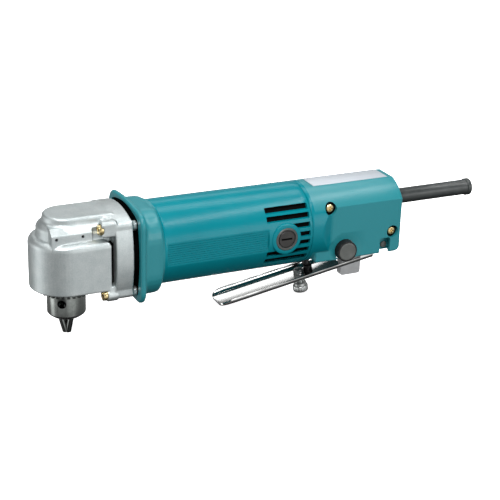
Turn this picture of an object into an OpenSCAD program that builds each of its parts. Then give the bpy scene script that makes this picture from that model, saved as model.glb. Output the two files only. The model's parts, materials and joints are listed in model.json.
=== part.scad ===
// Right angle drill: an angle head with a keyed chuck on an inline motor body,
// switched by a long lever under the body. Sizes are in millimetres.
// Origin at the jaw tips on the spindle axis, +X to the rear along the motor, +Z up.

/* [Head] */
// Radius of the round front of the gear housing
head_r = 25.5; // [24.5:0.5:28]
// Height of the underside of the gear housing above the jaw tips
head_bottom = 37; // [35.5:0.5:38]
// Height of the shelf on top of the lower block
head_shelf = 74; // [72:0.5:76]
// Radius of the nose around the spindle
nose_r = 17.7; // [16.5:0.1:18.5]
// Radius of the cap on top of the nose
cap_top_r = 15.3; // [14:0.1:16]
// Height of the top of the nose
nose_top = 89.8; // [89.6:0.1:92]
// Distance of the face of the side rib from the spindle axis
rib_half = 20; // [19:0.5:21]
// Top of the side rib
rib_top = 81; // [80:0.5:83]
// Radius of the recess that takes the chuck
chuck_recess_r = 18.8; // [18.5:0.1:19.5]

/* [Flange] */
// Front face of the gear housing flange plate
plate_front = 27.5; // [26.5:0.5:28.5]
// Rear face of the gear housing flange plate
plate_rear = 40; // [39:0.5:41]
// Half width of the flange plate
plate_half = 26.5; // [26:0.5:28]
// Front face of the hand guard rim on the motor housing
guard_front = 43.5; // [43:0.5:44.5]
// Thickness of the hand guard rim
guard_t = 4; // [3:0.5:5]
// Half width of the hand guard rim
guard_half = 33.8; // [33:0.2:37]
// Sideways offset of the head screws
screw_y = 22.4; // [22:0.1:22.8]
// Height of the upper head screws
screw_z_top = 82; // [81.6:0.1:82.6]
// Height of the lower head screws
screw_z_low = 33.3; // [33:0.1:34]

/* [Motor] */
// Height of the motor axis
motor_z = 59; // [58.8:0.1:59.2]
// Outer radius of the barrel
barrel_r = 30.5; // [30:0.5:34]
// Wall of the barrel
barrel_wall = 2.5; // [2:0.1:2.9]
// Rear end of the collar behind the hand guard
collar_end = 62; // [58:0.5:66]
// Rear end of the barrel
barrel_end = 177; // [176:0.5:178]
// Distance of the brush axis from the spindle axis
brush_x = 155.6; // [154:0.2:157]
// Radius of a brush cap
cap_r = 8.6; // [7.5:0.1:9]
// Radius of the boss round a brush cap
brush_boss_r = 11.6; // [10:0.2:12]
// Half height of the flat band on each side of the barrel
band_half = 8.6; // [6:0.2:10]
// Front end of the flat band
band_front = 66; // [64:0.5:80]
// Rear end of the flat band
band_rear = 142; // [130:0.5:142.5]
// Pitch of the air slots
slot_pitch = 6.4; // [6:0.1:7]
// Height of an air slot
slot_h = 3.6; // [1.6:0.1:4]
// Front end of the air slots
slot_front = 141; // [139:0.5:143]
// Rear end of the air slots
slot_rear = 175; // [172:0.5:175]

/* [Rear housing] */
// Rear face of the rear housing
rear_end = 254; // [252.5:0.5:258]
// Distance of the flat sides of the rear housing from its middle
rear_half = 25.5; // [25:0.5:26.5]
// Underside of the rear housing
rear_bottom = 35; // [34:0.5:36]
// Depth of the flat on top of the rear housing, below the top of the barrel
roof_cut = 1.4; // [1:0.1:2.4]
// Wall of the rear housing
rear_wall = 2.6; // [2:0.1:3]
// Height of the cord guard axis
guard_axis_z = 67.8; // [67:0.2:69]
// Outer radius of the cord guard
cord_guard_r = 5.9; // [5.4:0.1:7]
// Bore radius of the cord guard
cord_bore_r = 3.7; // [3:0.1:4.2]
// Rear end of the cord guard
cord_guard_end = 330; // [300:1:345]
// Distance of the lock button from the spindle axis
lock_x = 207; // [206:0.2:208]
// Height of the lock button axis
lock_z = 43; // [42.6:0.1:43.5]
// Radius of the lock button
lock_r = 7.4; // [6.5:0.1:7.4]
// Travel of the lock button
lock_travel = 3; // [2:0.2:3.4]

/* [Switch lever] */
// Distance of the lever pivot from the spindle axis
pivot_x = 243; // [242.5:0.1:243.5]
// Height of the lever pivot
pivot_z = 39; // [38.6:0.1:39.4]
// Radius of the lever pivot pin
pivot_r = 2.5; // [2:0.1:2.6]
// Length of the lever from pivot to tip
lever_len = 132; // [120:1:136]
// Half width of the lever trough
lever_half = 12.5; // [12:0.1:13]
// Depth of the lever trough
lever_depth = 4.5; // [3.5:0.1:5]
// Sheet thickness of the lever
lever_t = 1.5; // [1:0.1:1.8]
// Drop of the lever rims below the pivot
lever_drop = 9.5; // [9:0.1:10]
// Slope of the lever at rest
lever_slope = 9.7; // [9:0.1:10]
// Distance of the speed screw from the lever pivot
speed_x = 63; // [62.5:0.5:65]
// Thread radius of the speed screw
speed_r = 2.5; // [2:0.1:3]
// Radius of the speed screw knob
speed_knob_r = 5.9; // [5:0.1:7]
// Distance of the switch plunger from the spindle axis
plunger_x = 188.5; // [188:0.5:189]
// Radius of the plunger bulb
plunger_r = 4.6; // [4:0.1:4.8]

/* [Chuck] */
// Radius of the chuck nose
chuck_r = 12.9; // [12.8:0.1:13.6]
// Radius of the chuck sleeve
sleeve_r = 17.6; // [17.4:0.1:18]
// Radius of one chuck jaw
jaw_r = 2.2; // [2.1:0.05:2.3]
// Angle of the jaws to the spindle axis
jaw_angle = 14.5; // [14:0.1:15]
// Offset of a jaw axis from the spindle axis at the jaw tips
jaw_offset = 0.9; // [0.8:0.05:1]
// Length of a jaw
jaw_len = 39; // [38:0.5:40]
// Radius of the smallest shank that the jaws grip
grip_r = 0.75; // [0.5:0.05:1]
// Gap between the faces of two jaws
jaw_gap = 0.3; // [0.25:0.05:0.4]

/* [Gears] */
// Thinning of each tooth for backlash
backlash = 0.14; // [0.12:0.02:0.2]

/* [Fits] */
// Radial clearance of a turning fit
run_fit = 0.05; // [0.03:0.01:0.08]
// Gap between pieces that move past each other
move_gap = 0.4; // [0.3:0.05:0.5]
// Gap between parts that are assembled side by side
seat_gap = 0.1; // [0.05:0.05:0.2]

/* [Hidden] */
$fn = 64;

teal = "#0d8088";
cast = "#c9cbcc";
steel = "#8f9396";
zinc = "#c8a84a";
black = "#222426";
copper = "#b5693a";

// Gear train: teeth on the spur and bevel pairs, and their modules
pinion_n = 9;
wheel_n = 32;
spur_m = 0.8;
bevel_pinion_n = 11;
bevel_n = 30;
bevel_m = 1;
press_angle = 25;
spur_shift = 0.3;
bevel_shift = 0.4;
counter_z = motor_z + spur_m * (pinion_n + wheel_n) / 2;
bevel_gear_r = bevel_m * bevel_n / 2;
bevel_pinion_r = bevel_m * bevel_pinion_n / 2;
bevel_face = 4.5;
wheel_x0 = 28.7;
wheel_w = 6.4;
flank_steps = 5;

// Bearings, each as [bore radius, outer radius, width]
bearing_low = [6, 13, 7];
bearing_top = [4, 8.5, 5];
bearing_pinion = [4, 9, 6];
bearing_counter = [3, 6.5, 4];
bearing_front = [4, 11, 7];
bearing_rear = [3.5, 9.5, 6];
ring_share = 0.45;
low_z = 56;
top_z = 83;
pinion_bearing_x = 17.5;
counter_bearing_x = 36.2;
front_bearing_x = 43;
rear_bearing_x = 167;

// Chuck levels
nose_face = 12;
nose_shoulder = 17;
sleeve_z0 = 32.4;
sleeve_z1 = 46;
nut_z0 = 35.4;
nut_z1 = 39.6;
chuck_top = 54;
chuck_core_r = 10;

// Plain shapes along an axis
module cyl_x(x0, x1, r, y = 0, z = 0) {
    translate([x0, y, z]) rotate([0, 90, 0]) cylinder(h = x1 - x0, r = r);
}
module cone_x(x0, x1, r0, r1, y = 0, z = 0) {
    translate([x0, y, z]) rotate([0, 90, 0]) cylinder(h = x1 - x0, r1 = r0, r2 = r1);
}
module cyl_y(y0, y1, r, x = 0, z = 0) {
    translate([x, y1, z]) rotate([90, 0, 0]) cylinder(h = y1 - y0, r = r);
}
module cyl_z(z0, z1, r, x = 0, y = 0) {
    translate([x, y, z0]) cylinder(h = z1 - z0, r = r);
}
module block(x0, x1, y0, y1, z0, z1) {
    translate([x0, y0, z0]) cube([x1 - x0, y1 - y0, z1 - z0]);
}
module ring_x(x0, x1, ro, ri, z = 0) {
    difference() {
        cyl_x(x0, x1, ro, 0, z);
        cyl_x(x0 - 1, x1 + 1, ri, 0, z);
    }
}
module ring_z(z0, z1, ro, ri) {
    difference() {
        cyl_z(z0, z1, ro);
        cyl_z(z0 - 1, z1 + 1, ri);
    }
}
// A sector of a ring about the motor axis, from angle a0 to a1 measured from +Z
module sector_x(x0, x1, ro, ri, a0, a1) {
    translate([x0, 0, motor_z]) rotate([0, 90, 0]) rotate([0, 0, 180 + a0])
        rotate_extrude(angle = a1 - a0) translate([ri, 0]) square([ro - ri, x1 - x0]);
}
module both_sides() {
    children();
    mirror([0, 1, 0]) children();
}
// Draws a flat shape given in Y and Z from x0 to x1
module along_x(x0, x1) {
    translate([x0, 0, 0]) rotate([90, 0, 90]) linear_extrude(x1 - x0) children();
}
// Draws a flat shape given in X and Z from y0 to y1
module along_y(y0, y1) {
    translate([0, y1, 0]) rotate([90, 0, 0]) linear_extrude(y1 - y0) children();
}

function arc(cx, cy, r, a0, a1, n = 8) =
    [for (i = [0:n]) [cx + r * cos(a0 + (a1 - a0) * i / n), cy + r * sin(a0 + (a1 - a0) * i / n)]];
// A rounded rectangle, with its own corner radius at the bottom and the top
function round_rect(x0, x1, y0, y1, r_low, r_top) = concat(
    arc(x1 - r_low, y0 + r_low, r_low, -90, 0),
    arc(x1 - r_top, y1 - r_top, r_top, 0, 90),
    arc(x0 + r_top, y1 - r_top, r_top, 90, 180),
    arc(x0 + r_low, y0 + r_low, r_low, 180, 270));
// A section with a flat bottom, flat sides and a crowned top that runs smoothly into its corners
function crowned(half, z0, z1, crown, r) =
    let (big = (half * half + crown * crown) / (2 * crown),
        up = sqrt((big - r) * (big - r) - (half - r) * (half - r)),
        a = atan2(up, half - r),
        z_corner = z1 - big + up)
    concat(
        arc(half - r, z0 + r, r, -90, 0),
        arc(half - r, z_corner, r, 0, a),
        arc(0, z1 - big, big, a, 180 - a),
        arc(-half + r, z_corner, r, 180 - a, 180),
        arc(-half + r, z0 + r, r, 180, 270));

// Involute gears
function inv(a) = tan(a) - a * PI / 180;
function half_tooth(r, rp, rb, s) =
    (s / (2 * rp) + inv(press_angle) - inv(acos(min(1, rb / r)))) * 180 / PI;
// Outline of a gear as [radius, angle] pairs
function gear_polar(n, rp, m, shift, turn, spread = 1) =
    let (rb = rp * cos(press_angle),
        s = m * (PI / 2 + 2 * shift * tan(press_angle)) - backlash,
        ra = rp + m * (0.94 + shift),
        rf = rp - m * (1.2 - shift),
        r0 = max(rb, rf) + 0.01,
        flank = [for (i = [0:flank_steps]) r0 + (ra - r0) * i / flank_steps],
        low = half_tooth(r0, rp, rb, s))
    [for (k = [0:n - 1]) let (c = turn + 360 * k / n) each concat(
        [[rf, c - low * spread]],
        [for (r = flank) [r, c - half_tooth(r, rp, rb, s) * spread]],
        [for (i = [flank_steps:-1:0]) [flank[i], c + half_tooth(flank[i], rp, rb, s) * spread]],
        [[rf, c + low * spread]])];
module spur(n, shift, turn) {
    polar = gear_polar(n, spur_m * n / 2, spur_m, shift, turn);
    polygon([for (p = polar) [p[0] * cos(p[1]), p[0] * sin(p[1])]]);
}
// A bevel gear with its cone tip at the origin and its axis along +Z
module bevel(n, other_n, shift, turn) {
    cone = atan(n / other_n);
    rp = bevel_m * n / 2;
    rv = rp / cos(cone);
    polar = gear_polar(n, rv, bevel_m, shift, turn, 1 / cos(cone));
    back = [for (p = polar) let (d = p[0] - rv, r = rp + d * cos(cone))
        [r * cos(p[1]), r * sin(p[1]), rp / tan(cone) - d * sin(cone)]];
    shrink = 1 - bevel_face / (rp / sin(cone));
    count = len(back);
    back_tip = [0, 0, max([for (p = back) p[2]]) + 0.4];
    front_tip = [0, 0, min([for (p = back) p[2]]) * shrink + 0.3];
    points = concat(back, [for (p = back) p * shrink], [back_tip, front_tip]);
    faces = [for (i = [0:count - 1]) let (j = (i + 1) % count) each [
        [j, i, 2 * count],
        [count + i, count + j, 2 * count + 1],
        [count + j, count + i, i],
        [j, count + j, i]]];
    polyhedron(points, faces);
}

// Half outline of a turned block with rounded edges
function turned(r, z0, z1, f_low, f_top) = concat(
    [[0, z0]], arc(r - f_low, z0 + f_low, f_low, -90, 0, 5),
    arc(r - f_top, z1 - f_top, f_top, 0, 90, 8), [[0, z1]]);
// A block with a round front about the spindle and straight sides back to x_end
module stadium(r, x_end, z0, z1, f_low, f_top) {
    outline = turned(r, z0, z1, f_low, f_top);
    rotate_extrude() polygon(outline);
    both_sides() along_x(0, x_end) polygon(outline);
}
module head_screw_places() {
    for (y = [-screw_y, screw_y], z = [screw_z_low, screw_z_top]) translate([0, y, z]) children();
}
module bearing_x(b, x0, z, outer) {
    wall = (b[1] - b[0]) * ring_share;
    if (outer) ring_x(x0, x0 + b[2], b[1], b[1] - wall, z);
    else ring_x(x0, x0 + b[2], b[1] - wall - move_gap, b[0], z);
}
module bearing_z(b, z0, outer) {
    wall = (b[1] - b[0]) * ring_share;
    if (outer) ring_z(z0, z0 + b[2], b[1], b[1] - wall);
    else ring_z(z0, z0 + b[2], b[1] - wall - move_gap, b[0]);
}

// Gear housing sizes
block_end = 25;
plate_bottom = 30;
plate_top = 90.6;
plate_crown = 5;
boss_r = 4.3;
boss_front_top = 19.5;
boss_front_low = 22;
screw_head_r = 3.7;
screw_head_h = 3;
screw_r = 2;
screw_end = 58;
rib_x0 = -15.4;
rib_x1 = 15;
rib_pin_x = [-12, 6.4];
rib_pin_z = 78;
rib_pin_r = 1.5;
rib_pin_in = 6;
cap_h = 5;
cap_edge = 2.5;
nose_step = nose_top - cap_h;
nose_root = head_shelf - 6;
nose_outline = concat(
    [[0, nose_root], [nose_r, nose_root], [nose_r, nose_step], [cap_top_r + 0.6, nose_step + 1.4]],
    arc(cap_top_r - cap_edge, nose_top - cap_edge, cap_edge, 0, 90, 5), [[0, nose_top]]);
neck_half = 21;
gear_room_x0 = plate_front + 0.6;
block_edge_low = 1.5;
block_edge_top = 4;
plate_corner = 3;
plate_bulge = 2.6;
bulge_half = 22;
bulge_r = (bulge_half * bulge_half + plate_bulge * plate_bulge) / (2 * plate_bulge);
bulge_a = asin(bulge_half / bulge_r);
cross_half = 2.2;
cross_w = 1.2;
cross_deep = 1.4;
plate_seat_x = 36;
plate_seat_r = 25;
counter_boss_r = bearing_counter[1] + 2;

module gear_housing() color(cast) difference() {
    union() {
        stadium(head_r, block_end, head_bottom, head_shelf, block_edge_low, block_edge_top);
        rotate_extrude() polygon(nose_outline);
        both_sides() along_x(0, plate_front + 1) polygon(nose_outline);
        along_y(-rib_half, 0)
            polygon(round_rect(rib_x0, rib_x1, head_shelf - 5, rib_top, 0.5, 1));
        block(block_end - 3, plate_front + 1, -neck_half, neck_half, head_bottom + 3, head_shelf + 6);
        along_x(plate_front, plate_rear)
            polygon(crowned(plate_half, plate_bottom, plate_top, plate_crown, plate_corner));
        both_sides() along_x(plate_front, plate_rear) polygon(concat([[0, motor_z]],
            arc(plate_half + plate_bulge - bulge_r, motor_z, bulge_r, -bulge_a, bulge_a)));
        for (y = [-screw_y, screw_y]) {
            cyl_x(boss_front_top, plate_front + 1, boss_r, y, screw_z_top);
            cyl_x(boss_front_low, plate_front + 1, boss_r, y, screw_z_low);
        }
    }
    cyl_z(head_bottom - 1, low_z - 1, chuck_recess_r);
    cyl_z(low_z - 2, low_z + bearing_low[2], bearing_low[1]);
    cyl_z(low_z + bearing_low[2] - 1, head_shelf - 0.5, bevel_gear_r + 1.5);
    cyl_z(head_shelf - 2, top_z + 0.5, bearing_top[1] + 1);
    cyl_z(top_z, top_z + bearing_top[2], bearing_top[1]);
    cyl_x(0, pinion_bearing_x + 0.5, bearing_pinion[1] - 1, 0, counter_z);
    cyl_x(pinion_bearing_x, gear_room_x0 + 0.5, bearing_pinion[1], 0, counter_z);
    cyl_x(gear_room_x0, plate_seat_x + 0.5, spur_m * wheel_n / 2 + 1.1, 0, counter_z);
    cyl_x(gear_room_x0 - 1, plate_seat_x + 0.5, spur_m * pinion_n / 2 + 4, 0, motor_z);
    cyl_x(plate_seat_x, plate_rear + 1, plate_seat_r, 0, motor_z);
    head_screw_places() cyl_x(10, plate_rear + 1, screw_r);
    for (y = [-screw_y, screw_y])
        cyl_x(0, boss_front_low, screw_head_r + seat_gap, y, screw_z_low);
    for (x = rib_pin_x) cyl_y(-rib_half - 1, -rib_half + rib_pin_in, rib_pin_r, x, rib_pin_z);
}

module rib_pins() color(steel) for (x = rib_pin_x)
    cyl_y(-rib_half + 1, -rib_half + rib_pin_in, rib_pin_r, x, rib_pin_z);

// Cross slot of a screw, cut in from the head face at the origin towards +Z
module cross_slot() for (a = [0, 90]) rotate([0, 0, a])
    translate([-cross_half, -cross_w / 2, -1]) cube([cross_half * 2, cross_w, cross_deep + 1]);

module head_screws() color(zinc) for (y = [-screw_y, screw_y], top = [true, false])
    translate([top ? boss_front_top : boss_front_low, y, top ? screw_z_top : screw_z_low]) difference() {
        union() {
            cyl_x(-screw_head_h, 0, screw_head_r);
            cyl_x(-1, screw_end - (top ? boss_front_top : boss_front_low), screw_r);
        }
        translate([-screw_head_h, 0, 0]) rotate([0, 90, 0]) cross_slot();
    }

module bearing_plate() color(cast) difference() {
    union() {
        cyl_x(plate_seat_x, plate_rear, plate_seat_r, 0, motor_z);
        cyl_x(plate_rear - 1, front_bearing_x + bearing_front[2], bearing_front[1] + 3, 0, motor_z);
        cyl_x(plate_rear - 1, counter_bearing_x + bearing_counter[2] + 2,
            counter_boss_r, 0, counter_z);
    }
    cyl_x(plate_seat_x - 1, front_bearing_x + 1, bearing_front[0] + 2, 0, motor_z);
    cyl_x(front_bearing_x, front_bearing_x + bearing_front[2] + 1, bearing_front[1], 0, motor_z);
    cyl_x(plate_seat_x - 1, counter_bearing_x + bearing_counter[2], bearing_counter[1], 0, counter_z);
}

module bearings(outer, which) {
    if (which == "spindle") {
        bearing_z(bearing_low, low_z, outer);
        bearing_z(bearing_top, top_z, outer);
    }
    if (which == "pinion") {
        bearing_x(bearing_pinion, pinion_bearing_x, counter_z, outer);
        bearing_x(bearing_counter, counter_bearing_x, counter_z, outer);
    }
    if (which == "armature") {
        bearing_x(bearing_front, front_bearing_x, motor_z, outer);
        bearing_x(bearing_rear, rear_bearing_x, motor_z, outer);
    }
}
module outer_rings() color(steel) for (which = ["spindle", "pinion", "armature"]) bearings(true, which);
module spindle_rings() color(steel) bearings(false, "spindle");
module pinion_rings() color(steel) bearings(false, "pinion");
module armature_rings() color(steel) bearings(false, "armature");

// Motor housing sizes
guard_bottom = 25;
guard_top = 93.2;
collar_half = 31.8;
collar_bottom = 26.6;
collar_top = 89.3;
collar_corner = 20;
collar_taper = 5;
guard_crown = 3;
guard_corner = 10;
neck_r = 21.5;
barrel_in = barrel_r - barrel_wall;
bulkhead_x0 = rear_bearing_x - 1;
bulkhead_x1 = rear_bearing_x + bearing_rear[2] + 1;
bulkhead_hole_r = 5.5;
bulkhead_ring_r = (barrel_in + bearing_rear[1]) / 2 - 1.25;
flat_y = sqrt(barrel_r * barrel_r - band_half * band_half);
// Air slots as [rows above the motor axis, 1 where the row starts behind the brush boss]
slot_rows = [[-2.5, 0], [-1.5, 0], [-0.5, 1], [0.5, 1], [1.5, 1], [2.5, 0], [3.5, 0]];
cap_stand = 1.1;
cap_face = barrel_r + cap_stand;
cap_rim = 1.6;
cap_slot_w = 1.8;
brush_tube = [10, 8];
comm_r = barrel_in * 5 / 14;
brush_seat = barrel_in - 3;
brush_out = barrel_in * 5 / 7;
holder_in = comm_r + 2;
brush_spring_r = 2.6;
spring_wire = 0.7;

module motor_housing() color(teal) difference() {
    union() {
        difference() {
            union() {
                cyl_x(collar_end - 1, barrel_end, barrel_r, 0, motor_z);
                cyl_x(plate_rear, guard_front + 1, neck_r, 0, motor_z);
                along_x(guard_front, guard_front + guard_t)
                    polygon(crowned(guard_half, guard_bottom, guard_top, guard_crown, guard_corner));
                along_x(guard_front + guard_t - 1, collar_end) polygon(round_rect(
                    -collar_half, collar_half, collar_bottom, collar_top, collar_corner, collar_corner));
                cone_x(collar_end, collar_end + collar_taper, barrel_r + 2, barrel_r, 0, motor_z);
                head_screw_places() cyl_x(plate_rear, guard_front + 1, boss_r - 1);
            }
            cyl_x(plate_rear - 1, guard_front + guard_t, neck_r - barrel_wall, 0, motor_z);
            cyl_x(plate_rear - 1, guard_front + guard_t, counter_boss_r + seat_gap * 4, 0, counter_z);
            cyl_x(guard_front + 2, barrel_end + 1, barrel_in, 0, motor_z);
            both_sides()
                block(band_front, band_rear, flat_y, barrel_r + 2, motor_z - band_half, motor_z + band_half);
        }
        difference() {
            cyl_x(bulkhead_x0, bulkhead_x1, barrel_in + 0.5, 0, motor_z);
            for (a = [30:60:330])
                translate([0, bulkhead_ring_r * cos(a), motor_z + bulkhead_ring_r * sin(a)])
                    cyl_x(bulkhead_x0 - 1, bulkhead_x1 + 1, bulkhead_hole_r);
            cyl_x(bulkhead_x0 - 1, bulkhead_x1 + 1, bearing_rear[0] + 2, 0, motor_z);
            cyl_x(rear_bearing_x, bulkhead_x1 + 1, bearing_rear[1], 0, motor_z);
        }
        both_sides() cyl_y(barrel_in - 2, barrel_r + 0.6, brush_boss_r, brush_x, motor_z);
    }
    for (row = slot_rows) let (z = motor_z + row[0] * slot_pitch, x0 = row[1] == 1 ? brush_x : slot_front)
        difference() {
            both_sides()
                block(x0, slot_rear, barrel_r - 12, barrel_r + 2, z - slot_h / 2, z + slot_h / 2);
            both_sides() cyl_y(0, barrel_r + 3, brush_boss_r + 1.2, brush_x, motor_z);
            cyl_x(bulkhead_x0 - 0.1, bulkhead_x1, barrel_in - 0.6, 0, motor_z);
        }
    both_sides() cyl_y(barrel_in - 3, barrel_r + 2, cap_r, brush_x, motor_z);
    head_screw_places() cyl_x(plate_rear - 1, screw_end, screw_r);
}

// Stator sizes
core_x0 = 85;
core_x1 = 125;
yoke_t = 5.5;
coil_room = 6.3;
stator_gap = 0.6;
yoke_in = barrel_in - yoke_t;
core_r = yoke_in - coil_room;
pole_half = 38;
coil_half = 74;
coil_over = 6;

module stator_core() color(steel) along_x(core_x0, core_x1) translate([0, motor_z]) difference() {
    circle(barrel_in);
    circle(core_r + stator_gap);
    difference() {
        circle(yoke_in);
        for (s = [-1, 1]) polygon([[0, 0], [barrel_r * sin(pole_half), s * barrel_r * cos(pole_half)],
            [-barrel_r * sin(pole_half), s * barrel_r * cos(pole_half)]]);
    }
}
module stator_coils() color(copper) for (a = [0, 180]) difference() {
    sector_x(core_x0 - coil_over, core_x1 + coil_over, yoke_in - seat_gap, core_r + stator_gap + move_gap,
        a - coil_half, a + coil_half);
    sector_x(core_x0, core_x1, yoke_in + 1, core_r, a - pole_half - 1, a + pole_half + 1);
}

module brush_holders() color(zinc) both_sides() difference() {
    union() {
        block(brush_x - brush_tube[0] / 2, brush_x + brush_tube[0] / 2, holder_in, brush_seat,
            motor_z - brush_tube[1] / 2, motor_z + brush_tube[1] / 2);
        cyl_y(brush_seat - 3, brush_seat, cap_r + 1.4, brush_x, motor_z);
    }
    block(brush_x - brush_tube[0] / 2 + 1, brush_x + brush_tube[0] / 2 - 1, holder_in - 1, brush_seat + 1,
        motor_z - brush_tube[1] / 2 + 1, motor_z + brush_tube[1] / 2 - 1);
}
module carbon_brushes() color(black) both_sides()
    block(brush_x - brush_tube[0] / 2 + 1 + seat_gap, brush_x + brush_tube[0] / 2 - 1 - seat_gap,
        comm_r + 0.3, brush_out,
        motor_z - brush_tube[1] / 2 + 1 + seat_gap, motor_z + brush_tube[1] / 2 - 1 - seat_gap);
module brush_springs() color(steel) both_sides() difference() {
    cyl_y(brush_out, brush_seat + 0.5, brush_spring_r, brush_x, motor_z);
    cyl_y(brush_out - 1, brush_seat + 2, brush_spring_r - spring_wire, brush_x, motor_z);
}
module brush_caps() color(black) both_sides() difference() {
    cyl_y(brush_seat + 0.5, cap_face, cap_r, brush_x, motor_z);
    cyl_y(cap_face - 0.8, cap_face + 1, cap_r - cap_rim, brush_x, motor_z);
    block(brush_x - cap_r + cap_rim + 0.6, brush_x + cap_r - cap_rim - 0.6, cap_face - 2.2, cap_face + 1,
        motor_z - cap_slot_w / 2, motor_z + cap_slot_w / 2);
}

// Rear housing sizes
rear_front = barrel_end + seat_gap;
rear_top = motor_z + barrel_r - roof_cut;
rear_box_front = 182;
rear_blend = [186.5, 195.5];
rear_corner_low = 3;
rear_end_top_r = 3;
rear_end_low_r = 6;
rear_plan_r = 3;
rear_screw_places = [[193.6, 75], [247.4, 50.4]];
rear_screw_r = 2;
rear_screw_head_r = 3.6;
rear_screw_end = 15;
rear_boss_r = 4.6;
notch_x0 = 237;
notch_x1 = 246;
notch_top = 46;
lug_in = lever_half + move_gap + 0.6;
lug_out = 20.5;
ear_r = 5.5;
bay_x0 = 211;
switch_half = 11;
switch_x0 = 184;
switch_x1 = 236;
switch_z0 = 47.5;
switch_z1 = 70;
clamp_x = [237.5, 243.5];
clamp_z = 65.2;
label_t = 0.4;
label_front = 187;
label_rear = rear_end - 4.5;
label_half = sqrt(roof_cut * (2 * barrel_r - roof_cut)) - 0.2;
rear_rib_x = [205, 210];
clamp_screw_y = 7.5;
clamp_screw_r = 1.5;
clamp_h = 8;
clamp_half = 10.5;
rear_screw_sink = 1.2;
rear_screw_seat = 3.5;

// The outside of the rear housing, drawn in by an even inset: the barrel runs on, with a foot below it,
// and the sides draw in to two flats
module rear_form(inset) {
    front = inset > 0 ? rear_front - 1 : rear_front;
    half = rear_half - inset;
    low = rear_bottom + inset;
    top = rear_top - inset;
    end = rear_end - inset;
    blend = [for (i = [0:8]) let (t = i / 8) [rear_blend[0] + (rear_blend[1] - rear_blend[0]) * t,
        half + (barrel_r - rear_half) * (1 + cos(180 * t)) / 2]];
    plan = concat([[front, barrel_r - inset]], blend,
        arc(end - rear_plan_r, half - rear_plan_r, rear_plan_r, 90, 0));
    intersection() {
        union() {
            cyl_x(front, end, barrel_r - inset, 0, motor_z);
            along_x(rear_box_front + inset, end)
                polygon(round_rect(-half, half, low, motor_z, rear_corner_low, 0));
        }
        along_y(-barrel_r * 2, barrel_r * 2) polygon(concat(
            [[front, low]], arc(end - rear_end_low_r, low + rear_end_low_r, rear_end_low_r, -90, 0),
            arc(end - rear_end_top_r, top - rear_end_top_r, rear_end_top_r, 0, 90), [[front, top]]));
        linear_extrude(rear_top * 2)
            polygon(concat(plan, [for (i = [len(plan) - 1:-1:0]) [plan[i][0], -plan[i][1]]]));
    }
}
module clamp_screw_places() for (y = [-clamp_screw_y, clamp_screw_y])
    translate([(clamp_x[0] + clamp_x[1]) / 2, y, 0]) children();
module rear_shell() difference() {
    union() {
        difference() {
            rear_form(0);
            rear_form(rear_wall);
        }
        intersection() {
            rear_form(0);
            union() {
                for (p = rear_screw_places) cyl_y(-rear_half * 2, rear_half * 2, rear_boss_r, p[0], p[1]);
                both_sides() {
                    block(pivot_x - 7, rear_end - rear_wall + 0.5, lug_in, lug_out,
                        rear_bottom + 1.2, notch_top);
                    block(rear_rib_x[0], rear_rib_x[1], switch_half, rear_half - 1,
                        switch_z0 + 8, switch_z1 - 4);
                    block(clamp_x[0], clamp_x[1], 0, rear_half - 1, clamp_z - 7, clamp_z);
                }
            }
        }
    }
    both_sides() block(notch_x0, notch_x1, lug_out, rear_half + 1, rear_bottom - 1, notch_top);
    block(bay_x0, pivot_x + ear_r + move_gap, -lug_in, lug_in, rear_bottom - 1, rear_bottom + rear_wall + 1);
    block(pivot_x - ear_r - 3, pivot_x + ear_r + move_gap, -lug_in, lug_in,
        rear_bottom - 1, pivot_z + ear_r + move_gap);
    cyl_z(rear_bottom - 1, rear_bottom + rear_wall + 1, plunger_r + move_gap, plunger_x);
    cyl_y(-barrel_r - 1, -rear_half + rear_wall + lock_travel + 2, lock_r + move_gap, lock_x, lock_z);
    cyl_y(-lug_out - 1, lug_out + 1, pivot_r, pivot_x, pivot_z);
    cyl_x(rear_end - rear_wall - 1, rear_end + 1, cord_guard_r, 0, guard_axis_z);
    for (p = rear_screw_places) {
        cyl_y(-rear_half - 1, rear_screw_end, rear_screw_r, p[0], p[1]);
        cyl_y(-barrel_r - 1, -rear_half + rear_screw_seat, rear_screw_head_r + 0.6, p[0], p[1]);
    }
    clamp_screw_places() cyl_z(clamp_z - 6, clamp_z + 1, clamp_screw_r);
}
module rear_half_left() color(teal) intersection() {
    rear_shell();
    block(rear_front - 1, rear_end + 1, -rear_half * 2, -seat_gap / 2, 0, rear_top + 5);
}
module rear_half_right() color(teal) intersection() {
    rear_shell();
    block(rear_front - 1, rear_end + 1, seat_gap / 2, rear_half * 2, 0, rear_top + 5);
}
module rear_screws() color(zinc) for (p = rear_screw_places) difference() {
    union() {
        cyl_y(-rear_half + rear_screw_sink, -rear_half + rear_screw_seat, rear_screw_head_r, p[0], p[1]);
        cyl_y(-rear_half + rear_screw_seat - 0.5, rear_screw_end, rear_screw_r, p[0], p[1]);
    }
    translate([p[0], -rear_half + rear_screw_sink, p[1]]) rotate([-90, 0, 0]) cross_slot();
}
module rating_plate() color("#c8cacc")
    block(label_front, label_rear, -label_half, label_half, rear_top, rear_top + label_t);

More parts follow.
